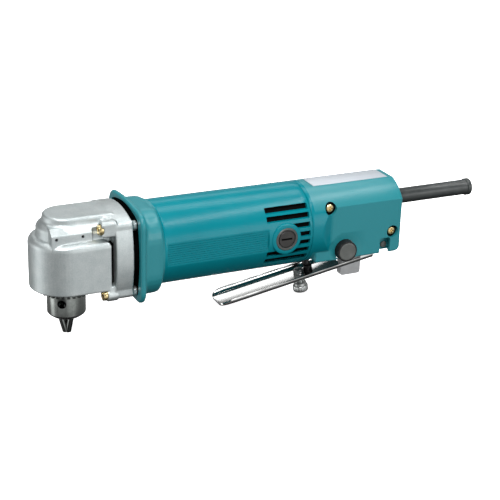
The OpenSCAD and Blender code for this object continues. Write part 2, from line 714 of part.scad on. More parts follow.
trunnion_z = 43.5;
trunnion_r = 1.5;
trunnion_t = 2.6;
paddle_x = [217.5, 234.5];
paddle_half = 3;
paddle_bottom = 10;
module switch_body() color(black) difference() {
    union() {
        block(switch_x0, switch_x1, -switch_half, switch_half, switch_z0, switch_z1);
        for (x = [paddle_x[0] - move_gap - trunnion_t, paddle_x[1] + move_gap])
            block(x, x + trunnion_t, -4, 4, trunnion_z - 3, switch_z0 + 1);
    }
    cyl_z(switch_z0 - 1, switch_z0 + 15, stem_r + move_gap, plunger_x);
    cyl_x(paddle_x[0] - 4, paddle_x[1] + 4, trunnion_r + run_fit, 0, trunnion_z);
}
module reversing_lever() color("#b9bcbe") {
    along_y(-paddle_half, paddle_half)
        polygon(round_rect(paddle_x[0], paddle_x[1], paddle_bottom, trunnion_z + 2.4, 2, 1.5));
    cyl_x(paddle_x[0] - trunnion_t, paddle_x[1] + trunnion_t, trunnion_r, 0, trunnion_z);
}

module cord_guard() color("#2c302f") difference() {
    union() {
        cyl_x(rear_end - rear_wall - 4, rear_end - rear_wall, cord_guard_r + 3, 0, guard_axis_z);
        cyl_x(rear_end - rear_wall - 1, cord_guard_end, cord_guard_r, 0, guard_axis_z);
        cyl_x(cord_guard_end - 3.5, cord_guard_end, cord_guard_r + 0.7, 0, guard_axis_z);
    }
    cyl_x(rear_end - rear_wall - 5, cord_guard_end + 1, cord_bore_r, 0, guard_axis_z);
}
module cord_clamp() color(black) difference() {
    block(clamp_x[0] + 0.5, clamp_x[1] - 0.5, -clamp_half, clamp_half, clamp_z, clamp_z + clamp_h);
    cyl_x(clamp_x[0], clamp_x[1], cord_bore_r, 0, clamp_z + 2);
    clamp_screw_places() cyl_z(clamp_z - 1, clamp_z + clamp_h + 1, clamp_screw_r);
}
module clamp_screws() color(zinc) clamp_screw_places() {
    cyl_z(clamp_z - 6, clamp_z + clamp_h + 0.5, clamp_screw_r);
    cyl_z(clamp_z + clamp_h, clamp_z + clamp_h + 2, clamp_screw_r + 1.1);
}
module lever_pin() color(steel) cyl_y(-lug_out - 0.8, lug_out + 0.8, pivot_r, pivot_x, pivot_z);
module lever_spring() color(steel) difference() {
    cyl_y(-8, 8, pivot_r + 1.2, pivot_x, pivot_z);
    cyl_y(-9, 9, pivot_r, pivot_x, pivot_z);
}

// Motor and gears
shaft_r = 5;
fan_x = [57, 66];
fan_r = barrel_in - 3;
fan_hub_r = 9;
fan_blade_t = 1.6;
module armature_shaft() color(steel) {
    translate([0, 0, motor_z]) along_x(wheel_x0 - 0.5, wheel_x0 + wheel_w + 0.5)
        spur(pinion_n, spur_shift, 90);
    cyl_x(wheel_x0 + wheel_w, front_bearing_x + bearing_front[2] + 2, bearing_front[0], 0, motor_z);
    cyl_x(front_bearing_x + bearing_front[2], rear_bearing_x, shaft_r, 0, motor_z);
    cyl_x(rear_bearing_x - 1, rear_bearing_x + bearing_rear[2] + 1, bearing_rear[0], 0, motor_z);
}
module armature_core() color(steel) difference() {
    ring_x(core_x0, core_x1, core_r, shaft_r, motor_z);
    for (a = [0:30:330]) translate([0, core_r * cos(a), motor_z + core_r * sin(a)])
        rotate([a, 0, 0]) block(core_x0 - 1, core_x1 + 1, -3, 1, -0.7, 0.7);
}
module armature_winding() color(copper) {
    ring_x(core_x0 - 8, core_x0, core_r - 2.5, shaft_r, motor_z);
    ring_x(core_x1, core_x1 + 12, core_r - 2.5, shaft_r, motor_z);
}
module commutator() color(copper) difference() {
    ring_x(brush_x - 7.5, brush_x + 7.5, comm_r, shaft_r, motor_z);
    for (a = [0:15:345]) translate([0, 0, motor_z]) rotate([a, 0, 0])
        block(brush_x - 8, brush_x + 8, -0.25, 0.25, comm_r - 0.8, comm_r + 1);
}
module cooling_fan() color(black) union() {
    ring_x(fan_x[0], fan_x[1], fan_hub_r, shaft_r, motor_z);
    ring_x(fan_x[0], fan_x[0] + 2, fan_r, fan_hub_r - 1, motor_z);
    for (a = [0:24:336]) translate([0, 0, motor_z]) rotate([a, 0, 0])
        block(fan_x[0] + 1, fan_x[1], -fan_blade_t / 2, fan_blade_t / 2, fan_hub_r + 3, fan_r - 0.5);
}
module pinion_shaft() color(steel) {
    translate([0, 0, counter_z]) rotate([0, 90, 0]) bevel(bevel_pinion_n, bevel_n, bevel_shift, 0);
    cyl_x(bevel_gear_r + 0.4, pinion_bearing_x, bearing_pinion[0] + 0.6, 0, counter_z);
    cyl_x(pinion_bearing_x - 1, wheel_x0 + wheel_w + 1, bearing_pinion[0], 0, counter_z);
    cyl_x(wheel_x0 + wheel_w, counter_bearing_x + bearing_counter[2] - 0.4, bearing_counter[0], 0, counter_z);
}
module reduction_gear() color(steel) difference() {
    translate([0, 0, counter_z]) along_x(wheel_x0, wheel_x0 + wheel_w)
        spur(wheel_n, -spur_shift, -90 + 180 / wheel_n);
    cyl_x(wheel_x0 - 1, wheel_x0 + wheel_w + 1, bearing_pinion[0], 0, counter_z);
}
gear_hub_z = low_z + bearing_low[2] + 0.3;
gear_bore_r = 5;
module spindle() color(steel) {
    cyl_z(chuck_top - 10, low_z + bearing_low[2], bearing_low[0]);
    cyl_z(low_z + bearing_low[2] - 1, counter_z - bevel_pinion_r + 2, gear_bore_r);
    cyl_z(counter_z - bevel_pinion_r, top_z + bearing_top[2] - 0.4, bearing_top[0]);
}
module bevel_gear() color(steel) difference() {
    union() {
        translate([0, 0, counter_z]) rotate([180, 0, 0])
            bevel(bevel_n, bevel_pinion_n, -bevel_shift, 180 / bevel_n);
        cyl_z(gear_hub_z, counter_z - bevel_pinion_r - 1, 8);
    }
    cyl_z(low_z, top_z, gear_bore_r);
}
module spindle_seal() color(black)
    ring_z(low_z - 1.2, low_z - 0.1, bearing_low[1] - 0.6, bearing_low[0] + 0.6);

// Chuck
sleeve_in = sleeve_r - 2;
key_hole_r = 3;
key_hole_z = 26.2;
key_angle = -121;
jaw_places = [for (k = [0:2]) key_angle + 60 + 120 * k];
shank_room_r = 5.2;
function jaw_edge(z) = jaw_offset + z * tan(jaw_angle) + jaw_r / cos(jaw_angle);
module jaw_line(r, from, to) {
    translate([jaw_offset, 0, 0]) rotate([0, jaw_angle, 0]) cyl_z(from, to, r);
}
module chuck_body() color(steel) difference() {
    rotate_extrude() polygon(concat(
        [[0, nose_face], [7.4, nose_face]],
        arc(chuck_r - 4.5, nose_shoulder, 4.5, -50, 0, 6),
        [[chuck_r, nut_z0 - move_gap], [chuck_core_r, nut_z0 - move_gap],
        [chuck_core_r, nut_z1 + move_gap], [sleeve_in - move_gap, nut_z1 + move_gap],
        [sleeve_in - move_gap, chuck_top], [0, chuck_top]]));
    cyl_z(nose_face - 1, chuck_top - 11, shank_room_r);
    cyl_z(chuck_top - 10, chuck_top + 1, bearing_low[0]);
    for (a = jaw_places) rotate([0, 0, a]) jaw_line(jaw_r + run_fit, -5, jaw_len + 40);
    for (k = [0:2]) rotate([0, 0, key_angle + 120 * k]) translate([0, 0, key_hole_z])
        rotate([0, 90, 0]) cylinder(h = chuck_r + 1, r = key_hole_r);
}
sleeve_teeth = 30;
module chuck_sleeve() color(steel) difference() {
    union() {
        ring_z(sleeve_z0, sleeve_z1, sleeve_r, sleeve_in);
        ring_z(sleeve_z0, nut_z0, sleeve_r, chuck_r + move_gap);
    }
    for (k = [0:sleeve_teeth - 1]) rotate([0, 0, 360 * k / sleeve_teeth])
        block(chuck_r - 1, sleeve_r + 1, -0.8, 0.8, sleeve_z0 - 1, sleeve_z0 + 1.8);
}
module chuck_nut() color(steel) difference() {
    cyl_z(nut_z0, nut_z1, sleeve_in);
    translate([0, 0, nut_z0 - 1]) cylinder(h = nut_z1 - nut_z0 + 2,
        r1 = jaw_edge(nut_z0 - 1) + move_gap, r2 = jaw_edge(nut_z1 + 1) + move_gap);
}
module jaw(k) color(steel) rotate([0, 0, jaw_places[k]]) difference() {
    intersection() {
        jaw_line(jaw_r, -3, jaw_len);
        linear_extrude(jaw_len * 2) polygon([[jaw_gap / 2 / sin(60), 0],
            [jaw_len, (jaw_len - jaw_gap) * tan(60)], [jaw_len, -(jaw_len - jaw_gap) * tan(60)]]);
    }
    cyl_z(-1, jaw_len, grip_r);
}
module jaw_1() jaw(0);
module jaw_2() jaw(1);
module jaw_3() jaw(2);

// Switch lever, drawn level about its pivot and then set to its rest slope
module on_lever() translate([pivot_x, 0, pivot_z]) rotate([0, -lever_slope, 0]) children();
lever_flat = lever_half - lever_depth;
floor_z = -lever_drop - lever_depth + lever_t;
tip_r = 8;
ear_run = 16;
slot_x = [-30, -6];
slot_half = 8.4;
pad_x = -55.2;
pad_r = [3.6, 3.2];
pad_t = 2;
screw_top = -8.6;
knob_z = [-27, -19.8];
module lever_section() polygon(concat(
    arc(-lever_flat, -lever_drop, lever_depth, 180, 270),
    arc(lever_flat, -lever_drop, lever_depth, 270, 360),
    arc(lever_flat, -lever_drop, lever_depth - lever_t, 360, 270),
    arc(-lever_flat, -lever_drop, lever_depth - lever_t, 270, 180)));
module switch_lever() color("#dfe3e5") on_lever() difference() {
    union() {
        intersection() {
            along_x(-lever_len, -5) lever_section();
            translate([0, 0, -lever_drop * 2]) linear_extrude(lever_drop * 2) polygon(concat(
                [[0, -lever_half - 1], [0, lever_half + 1]],
                arc(-lever_len + tip_r, lever_half - tip_r + 1, tip_r, 90, 180),
                arc(-lever_len + tip_r, -lever_half + tip_r - 1, tip_r, 180, 270)));
        }
        both_sides() along_y(lever_half - lever_t, lever_half) polygon(concat(
            arc(0, 0, ear_r, -70, 110),
            [[-ear_run, -lever_drop + 0.8], [-ear_run, -lever_drop - 0.6], [-5, -lever_drop - 0.6]]));
    }
    block(slot_x[0], slot_x[1] + 3, -slot_half, slot_half, -lever_drop - lever_depth - 1, -lever_drop + 1);
    cyl_y(-lever_half - 1, lever_half + 1, pivot_r + run_fit, 0, 0);
    cyl_z(-lever_drop * 2, 0, speed_r, -speed_x);
}
module lever_pad() color(black) on_lever() translate([pad_x, 0, floor_z])
    cylinder(h = pad_t - lever_drop - floor_z, r1 = pad_r[0], r2 = pad_r[1]);
module speed_screw() color("#c9cccd") on_lever() translate([-speed_x, 0, 0]) {
    cyl_z(knob_z[0] + 1, screw_top, speed_r - run_fit);
    difference() {
        cyl_z(knob_z[0], knob_z[1], speed_knob_r);
        for (a = [0:20:340]) rotate([0, 0, a]) translate([speed_knob_r + 0.3, 0, knob_z[0] - 1])
            cylinder(h = 10, r = 0.7);
    }
}
nut_r = 4.2;
nut_h = 3.4;
module speed_nut() color(steel) on_lever() translate([-speed_x, 0, 0]) difference() {
    translate([0, 0, floor_z]) rotate([0, 0, 30]) cylinder(h = nut_h, r = nut_r, $fn = 6);
    cyl_z(-lever_drop * 2, 0, speed_r);
}

// Switch plunger and lock button
stem_r = 2.6;
pad_top = pivot_z - (pivot_x - plunger_x) * tan(lever_slope) + (pad_t - lever_drop) / cos(lever_slope);
plunger_low = pad_top + move_gap + 0.4;
plunger_high = rear_bottom + 1;
module switch_plunger() color(black) rotate_extrude_at_plunger() polygon(concat(
    [[0, plunger_low], [plunger_r - 1.6, plunger_low], [plunger_r - 0.9, plunger_low + 3],
    [plunger_r, plunger_high - 3], [plunger_r, plunger_high - 1], [plunger_r - 1, plunger_high],
    [stem_r, plunger_high], [stem_r, switch_z0 + 6], [0, switch_z0 + 6]]));
module rotate_extrude_at_plunger() translate([plunger_x, 0, 0]) rotate_extrude() children();

lock_face = rear_half + 4;
lock_stem_r = 3;
lock_stem_end = switch_half + lock_travel + 0.5;
module lock_button() color("#3a3d40") union() {
    cyl_y(-lock_face, -rear_half + 2, lock_r, lock_x, lock_z);
    cyl_y(-rear_half + 1, -lock_stem_end, lock_stem_r, lock_x, lock_z);
}
module lock_spring() color(steel) difference() {
    cyl_y(-rear_half + 2 + lock_travel + 0.3, -switch_half, lock_stem_r + 1.6, lock_x, lock_z);
    cyl_y(-rear_half, 0, lock_stem_r + 0.5, lock_x, lock_z);
}

gear_housing();
rib_pins();
head_screws();
bearing_plate();
outer_rings();
motor_housing();
stator_core();
stator_coils();
brush_holders();
carbon_brushes();
brush_springs();
brush_caps();
rear_half_left();
rear_half_right();
rear_screws();
rating_plate();
switch_body();
cord_guard();
cord_clamp();
clamp_screws();
lever_pin();
armature_shaft();
armature_core();
armature_winding();
commutator();
cooling_fan();
armature_rings();
pinion_shaft();
reduction_gear();
pinion_rings();
spindle();
bevel_gear();
spindle_rings();
spindle_seal();
chuck_body();
chuck_sleeve();
chuck_nut();
jaw_1();
jaw_2();
jaw_3();
switch_lever();
lever_pad();
speed_screw();
speed_nut();
switch_plunger();
lock_button();
lock_spring();
lever_spring();
reversing_lever();
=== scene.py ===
# Right angle drill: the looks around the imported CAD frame. Sizes are in millimetres, turned into metres by mm.
import json
import math
import bpy
from mathutils import Matrix, Vector


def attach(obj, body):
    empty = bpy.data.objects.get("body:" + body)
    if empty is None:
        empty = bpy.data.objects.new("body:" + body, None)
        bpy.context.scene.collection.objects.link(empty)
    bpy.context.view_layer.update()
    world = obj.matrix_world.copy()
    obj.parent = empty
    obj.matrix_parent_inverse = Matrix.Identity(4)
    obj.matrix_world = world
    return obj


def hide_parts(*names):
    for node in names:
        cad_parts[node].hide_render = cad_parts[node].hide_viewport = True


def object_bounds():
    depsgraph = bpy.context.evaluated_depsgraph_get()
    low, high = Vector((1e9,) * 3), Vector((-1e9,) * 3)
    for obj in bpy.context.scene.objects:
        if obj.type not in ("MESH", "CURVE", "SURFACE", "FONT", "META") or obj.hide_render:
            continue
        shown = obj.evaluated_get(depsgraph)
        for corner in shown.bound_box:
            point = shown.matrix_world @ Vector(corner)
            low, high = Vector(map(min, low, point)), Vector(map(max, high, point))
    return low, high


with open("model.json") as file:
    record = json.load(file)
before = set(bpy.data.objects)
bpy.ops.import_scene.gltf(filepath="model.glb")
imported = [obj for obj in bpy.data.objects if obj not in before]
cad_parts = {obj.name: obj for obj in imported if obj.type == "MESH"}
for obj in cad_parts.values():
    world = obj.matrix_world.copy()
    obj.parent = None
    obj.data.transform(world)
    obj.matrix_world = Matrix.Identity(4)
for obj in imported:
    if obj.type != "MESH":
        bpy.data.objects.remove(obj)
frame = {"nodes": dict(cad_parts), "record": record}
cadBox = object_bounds()
mm = 0.001

# places that several pieces share
motorZ, barrelR, brushX, plungerX = 59.0, 30.5, 155.6, 188.5
lockAt, pivotAt, rearScrewsAt = (207.5, 41.0), (243, 39), ((193.6, 75), (247.4, 50.4))


# small helpers around Blender's own operators
def objectMode():
    bpy.ops.object.mode_set(mode="OBJECT")


def editMode(select="SELECT"):
    bpy.ops.object.mode_set(mode="EDIT")
    bpy.ops.mesh.select_all(action=select)


def pick(*objs):
    bpy.ops.object.select_all(action="DESELECT")
    for o in objs:
        o.select_set(True)
    bpy.context.view_layer.objects.active = objs[0]


def added(name, operator, **settings):  # one new object, with nothing else selected
    bpy.ops.object.select_all(action="DESELECT")
    operator(**settings)
    obj = bpy.context.object
    obj.name = name
    return obj


def applyAll(obj):
    pick(obj)
    for m in list(obj.modifiers):
        bpy.ops.object.modifier_apply(modifier=m.name)
    return obj


def addModifier(obj, kind, **settings):
    m = obj.modifiers.new(kind.title(), kind)
    for key, value in settings.items():
        setattr(m, key, value)
    return applyAll(obj)


def roundEdges(obj, width, angle):  # a small bevel on every edge sharper than angle
    return addModifier(obj, "BEVEL", width=width * mm, segments=2, limit_method="ANGLE",
                       angle_limit=math.radians(angle), use_clamp_overlap=True)


def boolean(obj, other, operation="DIFFERENCE"):
    addModifier(obj, "BOOLEAN", operation=operation, object=other, solver="MANIFOLD")
    bpy.data.objects.remove(other)
    return obj


def cleanNormals(obj):
    pick(obj)
    editMode()
    bpy.ops.mesh.remove_doubles(threshold=0.00001)
    bpy.ops.mesh.normals_make_consistent(inside=False)
    objectMode()
    return obj


def placed(at, turn=0, axis="X"):  # a turn in degrees about an axis, then a shift
    return Matrix.Translation(Vector(at) * mm) @ Matrix.Rotation(math.radians(turn), 4, axis)


def loopOf(name, points):  # a closed ring of edges, pulled from a circle into its outline
    obj = added(name, bpy.ops.mesh.primitive_circle_add, vertices=len(points), radius=0.01)
    for v, p in zip(obj.data.vertices, points):
        v.co = Vector(p) * mm
    return obj


def prism(name, outline, axis, start, push):  # an outline across an axis, filled and pushed along it
    at = "XYZ".index(axis)
    move = Vector((0, 0, 0))
    move[at] = push
    obj = loopOf(name, [(*p[:at], start, *p[at:]) for p in outline])
    pick(obj)
    editMode()
    bpy.ops.mesh.edge_face_add()
    bpy.ops.mesh.extrude_region_move(TRANSFORM_OT_translate={"value": move * mm})
    objectMode()
    return cleanNormals(obj)


def loft(name, rings, ringClosed=False):  # a grid rolled up and pulled through its sections
    across, rows = len(rings[0]), len(rings)
    obj = added(name, bpy.ops.mesh.primitive_grid_add, x_subdivisions=across, y_subdivisions=rows - 1, size=0.01)
    for v in obj.data.vertices:
        row, col = divmod(v.index, across + 1)
        v.co = Vector(rings[row][col % across]) * mm
    if ringClosed:
        return cleanNormals(obj)
    pick(obj)
    editMode()
    bpy.ops.mesh.remove_doubles(threshold=0.000001)
    bpy.ops.mesh.select_all(action="DESELECT")  # the two open ends are filled
    bpy.ops.mesh.select_non_manifold()
    bpy.ops.mesh.fill_holes(sides=0)
    bpy.ops.mesh.select_all(action="SELECT")
    bpy.ops.mesh.normals_make_consistent(inside=False)
    objectMode()
    return obj


def lathe(name, profile, axis="Z", at=(0, 0, 0), steps=96):  # a half outline (radius, height) spun about an axis
    obj = loopOf(name, [(r, 0, h) for r, h in profile])
    pick(obj)
    editMode()
    bpy.ops.mesh.spin(steps=steps, angle=math.tau, center=(0, 0, 0), axis=(0, 0, 1), use_auto_merge=True)
    objectMode()
    cleanNormals(obj)
    turn, about = {"Z": (0, "Z"), "X": (90, "Y"), "Y": (-90, "X")}[axis]
    obj.data.transform(placed(at, turn, about))
    return obj


def roundBar(name, radius, ends, axis, at, sides=48, edge=0.0):  # a bar from ends[0] to ends[1] along an axis
    low, high = ends
    profile = rect(0, radius, low, high)
    if edge:
        inset = radius - edge
        profile = [(0, low), (inset, low), (radius, low + edge), (radius, high - edge), (inset, high), (0, high)]
    return lathe(name, profile, axis, at, sides)


def arc(cx, cy, r, a0, a1, n=8):  # n steps along an arc, angles in degrees
    turns = [math.radians(a0 + (a1 - a0) * i / n) for i in range(n + 1)]
    return [(cx + r * math.cos(t), cy + r * math.sin(t)) for t in turns]


def rect(x0, x1, y0, y1):
    return [(x0, y0), (x1, y0), (x1, y1), (x0, y1)]


def roundRect(x0, x1, y0, y1, rLow, rTop, n=8):
    return (arc(x1 - rLow, y0 + rLow, rLow, -90, 0, n) + arc(x1 - rTop, y1 - rTop, rTop, 0, 90, n)
            + arc(x0 + rTop, y1 - rTop, rTop, 90, 180, n) + arc(x0 + rLow, y0 + rLow, rLow, 180, 270, n))


def lerp(a, b, t):
    return [p + (q - p) * t for p, q in zip(a, b)]


def ease(t):
    t = min(1.0, max(0.0, t))
    return t * t * (3 - 2 * t)


def softenedCopy(node, name, width):  # a CAD solid with its edges rounded off
    obj = bpy.data.objects.new(name, frame["nodes"][node].data.copy())
    bpy.context.scene.collection.objects.link(obj)
    pick(obj)
    editMode()
    bpy.ops.mesh.remove_doubles(threshold=0.000004)
    bpy.ops.mesh.dissolve_limited(angle_limit=math.radians(0.6))
    objectMode()
    return roundEdges(obj, width, 30)


def finishPiece(obj, body, finish, *nodes, slot=None, angle=35):
    pick(obj)
    bpy.ops.object.shade_smooth_by_angle(angle=math.radians(angle))
    obj.data.materials.clear()
    obj.data.materials.append(finishes[finish])
    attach(obj, body)
    if nodes:
        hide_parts(*nodes)
    return obj


# shader maths: a wire is a node's output, and an expression on wires adds its Math nodes
class Wire:
    def __init__(self, nodes, socket):
        self.nodes, self.socket = nodes, socket

    def math(self, operation, *values):
        return self.nodes.add("Math", {"operation": operation}, **{f"i{k}": v for k, v in enumerate(values)})

    def __add__(self, other): return self.math("ADD", self, other)
    def __radd__(self, other): return self.math("ADD", other, self)
    def __sub__(self, other): return self.math("SUBTRACT", self, other)
    def __rsub__(self, other): return self.math("SUBTRACT", other, self)
    def __mul__(self, other): return self.math("MULTIPLY", self, other)
    def __rmul__(self, other): return self.math("MULTIPLY", other, self)
    def __gt__(self, other): return self.math("GREATER_THAN", self, other)
    def __lt__(self, other): return self.math("LESS_THAN", self, other)
    def __abs__(self): return self.math("ABSOLUTE", self)


class Nodes:
    def __init__(self, tree):
        self.tree = tree

    def feed(self, slot, value):  # a wire is linked, a colour is given as three numbers
        if isinstance(value, Wire):
            self.tree.links.new(value.socket, slot)
        else:
            slot.default_value = (*value, 1) if slot.type == "RGBA" else value

    def add(self, kind, settings=None, out=0, **sockets):  # sockets by name, or by i and their number
        node = self.tree.nodes.new("ShaderNode" + kind)
        for key, value in (settings or {}).items():
            if key == "stops":  # places and grey levels of a ramp
                stops = node.color_ramp.elements
                while len(stops) < len(value):
                    stops.new(0.5)
                for stop, (at, level) in zip(stops, value):
                    stop.position, stop.color = at, (level, level, level, 1)
            else:
                setattr(node, key, value)
        for key, value in sockets.items():
            self.feed(node.inputs[int(key[1:]) if key[1:].isdigit() else key.replace("_", " ")], value)
        return Wire(self, node.outputs[out])

    def split(self, vector):
        parts = self.add("SeparateXYZ", Vector=vector)
        return [Wire(self, o) for o in parts.socket.node.outputs]

    def range(self, value, low, high, outLow=0.0, outHigh=1.0):
        return self.add("MapRange", Value=value, i1=low, i2=high, i3=outLow, i4=outHigh)


class Finish(Nodes):
    def __init__(self, name, **fixed):
        self.material = bpy.data.materials.new(name)
        self.material.use_nodes = True
        super().__init__(self.material.node_tree)
        for key, value in fixed.items():
            self.set(key.replace("_", " "), value)

    def set(self, socket, value):
        self.feed(self.tree.nodes["Principled BSDF"].inputs[socket], value)

    def place(self, stretch=(1, 1, 1)):  # object coordinates, in millimetres
        return self.add("Mapping", Vector=self.add("TexCoord", out="Object"), Scale=tuple(s / mm for s in stretch))

    def noise(self, scale, detail=3.0, roughness=0.5, stretch=(1, 1, 1)):
        return self.add("TexNoise", Vector=self.place(stretch), Scale=scale, Detail=detail, Roughness=roughness)

    def vary(self, noise, low=0.0, high=1.0):  # a noise lies mostly between 0.3 and 0.7
        return self.range(noise, 0.3, 0.7, low, high)

    def mix(self, factor, a, b):
        return self.add("Mix", {"data_type": "RGBA"}, 2, i0=factor, i6=a, i7=b)

    def bump(self, height, strength, distance):
        self.set("Normal", self.add("Bump", Height=height, Strength=strength, Distance=distance))


def tealPlastic(name):  # the barrel is a little deeper than the satin ends
    look = {"deep": (0.0, 0.15, 0.185), "light": (0.0, 0.172, 0.208), "satin": (0.014, 0.18, 0.207), "barrelX": (62, 180),
            "flatY": (25.3, 26.5), "rough": (0.21, 0.27), "endRough": 0.08, "haze": 0.42, "hazeRough": 0.32}
    f = Finish(name, IOR=1.5, Specular_IOR_Level=0.16, Coat_Roughness=look["hazeRough"])
    x, y = f.split(f.place())[:2]
    front, rear = look["barrelX"]
    ends = (x < front) + (x > rear) * (1 - f.range(abs(y), *look["flatY"]))
    body = f.mix(f.vary(f.noise(0.03)), look["deep"], look["light"])
    f.set("Base Color", f.mix(ends, body, look["satin"]))
    f.set("Roughness", f.vary(f.noise(0.2), *look["rough"]) + ends * look["endRough"])
    f.set("Coat Weight", ends * look["haze"])
    f.bump(f.noise(1.6, 2), 0.02, 0.0001)
    return f.material


def castAluminium(name):
    look = {"dark": (0.41, 0.46, 0.465), "light": (0.54, 0.58, 0.58), "spread": (0.38, 0.62), "rough": (0.40, 0.50)}
    f = Finish(name, Metallic=0.9)
    cloud, grain = f.noise(0.12, 4), f.noise(1.1, 4, 0.7)
    f.set("Base Color", f.mix(f.range(cloud * 0.4 + grain * 0.6, *look["spread"]), look["dark"], look["light"]))
    f.set("Roughness", f.vary(grain, *look["rough"]))
    f.bump(grain, 0.25, 0.00018)
    return f.material


def metal(name, dark, light, rough, scale=0.6, stretch=(1, 1, 1), bump=0.08):
    f = Finish(name, Metallic=1.0)
    streak, spot = f.noise(scale, 4, 0.6, stretch), f.noise(0.25)
    f.set("Base Color", f.mix(f.vary(streak), dark, light))
    f.set("Roughness", f.vary(streak * 0.6 + spot * 0.4, *rough))
    f.bump(streak, bump, 0.0001)
    return f.material


def plateFinish(name):  # pale brushed sheet, left blank
    look = {"dark": (0.42, 0.46, 0.50), "light": (0.50, 0.54, 0.58), "rough": (0.3, 0.4), "stretch": (0.06, 1.4, 1)}
    f = Finish(name, Metallic=0.25)
    brush = f.noise(0.7, 4, 0.6, look["stretch"])
    f.set("Base Color", f.mix(f.vary(brush), look["dark"], look["light"]))
    f.set("Roughness", f.vary(brush, *look["rough"]))
    f.bump(brush, 0.05, 0.00005)
    return f.material


def moulded(name, dark, light, rough, scale=1.6, bump=0.2, shine=0.5):
    f = Finish(name, IOR=1.48, Specular_IOR_Level=shine)
    grain = f.noise(scale)
    f.set("Base Color", f.mix(f.vary(f.noise(0.15)), dark, light))
    f.set("Roughness", f.vary(grain, *rough))
    f.bump(grain, bump, 0.00015)
    return f.material


finishes = {
    "teal": tealPlastic("tealPlastic"),
    "cast": castAluminium("castAluminium"),
    "gold": metal("yellowZinc", (0.46, 0.35, 0.15), (0.68, 0.56, 0.32), (0.2, 0.34)),
    # painted shade: a near black, barely shiny finish for the sheets, blocks and rings put where slots, gaps and seats
    # lie in shadow
    "dark": moulded("darkAirWay", (0.002, 0.002, 0.002), (0.004, 0.004, 0.004), (0.8, 0.9), shine=0.02),
    "chuck": metal("turnedSteel", (0.175, 0.19, 0.18), (0.225, 0.24, 0.23), (0.12, 0.18), 0.3, bump=0.01),
    "steel": metal("machineSteel", (0.36, 0.365, 0.37), (0.52, 0.525, 0.53), (0.24, 0.4)),
    "lamination": metal("laminatedSteel", (0.22, 0.22, 0.23), (0.36, 0.36, 0.37), (0.35, 0.5), 1.0, (2.2, 0.05, 0.05)),
    "copper": metal("copperWire", (0.42, 0.17, 0.07), (0.66, 0.31, 0.15), (0.3, 0.45), 0.9, (0.2, 1.5, 1.5)),
    "chrome": metal("chromedSteel", (0.77, 0.78, 0.77), (0.8, 0.81, 0.8), (0.14, 0.17), 0.3, bump=0.005),
    "paleZinc": metal("paleZinc", (0.40, 0.42, 0.42), (0.52, 0.54, 0.53), (0.14, 0.22)),
    "plate": plateFinish("silverPlate"),
    "carbon": moulded("carbonBlock", (0.02, 0.02, 0.022), (0.05, 0.05, 0.055), (0.5, 0.7)),
    "black": moulded("blackPlastic", (0.006, 0.006, 0.006), (0.012, 0.012, 0.013), (0.3, 0.42), shine=0.3),
    "rubber": moulded("blackRubber", (0.018, 0.022, 0.022), (0.03, 0.035, 0.035), (0.32, 0.42), 0.5, 0.05),
    "button": moulded("darkGreyPlastic", (0.016, 0.015, 0.014), (0.026, 0.025, 0.023), (0.4, 0.5)),
    "capRing": moulded("greyRing", (0.05, 0.054, 0.052), (0.07, 0.075, 0.072), (0.4, 0.5)),
    "lockCap": moulded("lockPlastic", (0.062, 0.068, 0.064), (0.09, 0.096, 0.09), (0.34, 0.46), 1.2, 0.3),
    "grey": moulded("greyPlastic", (0.42, 0.43, 0.44), (0.52, 0.53, 0.54), (0.3, 0.42)),
}
slotFinish = {"cast_aluminium": "cast", "teal_plastic": "teal", "yellow_zinc": "gold", "chuck_steel": "chuck",
              "machine_steel": "steel", "laminated_steel": "lamination", "copper": "copper", "carbon": "carbon",
              "black_plastic": "black", "black_rubber": "rubber", "silver_plate": "plate", "chromed_steel": "chrome",
              "pale_zinc": "paleZinc", "grey_plastic": "grey"}
print("finishes ready:", len(finishes))


# camera of the photograph, then the floor and the soft lights
def makeCamera():
    shot = {"place": (-252.71, -814.54, 406.23), "yaw": 25.82, "pitch": 21.98, "roll": 1.80,
            "focal": 1322.97, "frame": 500, "sensor": 36, "clip": (0.01, 50)}
    yaw, pitch, roll = (math.radians(shot[k]) for k in ("yaw", "pitch", "roll"))
    ahead = Vector((math.sin(yaw) * math.cos(pitch), math.cos(yaw) * math.cos(pitch), -math.sin(pitch)))
    right = Vector((math.cos(yaw), -math.sin(yaw), 0))
    up = right.cross(ahead)
    right, up = right * math.cos(roll) + up * math.sin(roll), up * math.cos(roll) - right * math.sin(roll)
    cam = added("photoCamera", bpy.ops.object.camera_add)
    turn = Matrix((right, up, -ahead)).transposed().to_4x4()
    cam.matrix_world = Matrix.Translation([q * mm for q in shot["place"]]) @ turn
    cam.data.sensor_width = shot["sensor"]
    cam.data.lens = shot["focal"] / shot["frame"] * shot["sensor"]
    cam.data.clip_start, cam.data.clip_end = shot["clip"]
    bpy.context.scene.camera = cam


def softBox(name, place, target, size, power):
    lamp = added(name, bpy.ops.object.light_add, type="AREA", location=place)
    lamp.data.shape, lamp.data.size, lamp.data.size_y = "RECTANGLE", *size
    lamp.data.energy = power
    lamp.rotation_euler = (Vector(target) - Vector(place)).to_track_quat("-Z", "Y").to_euler()


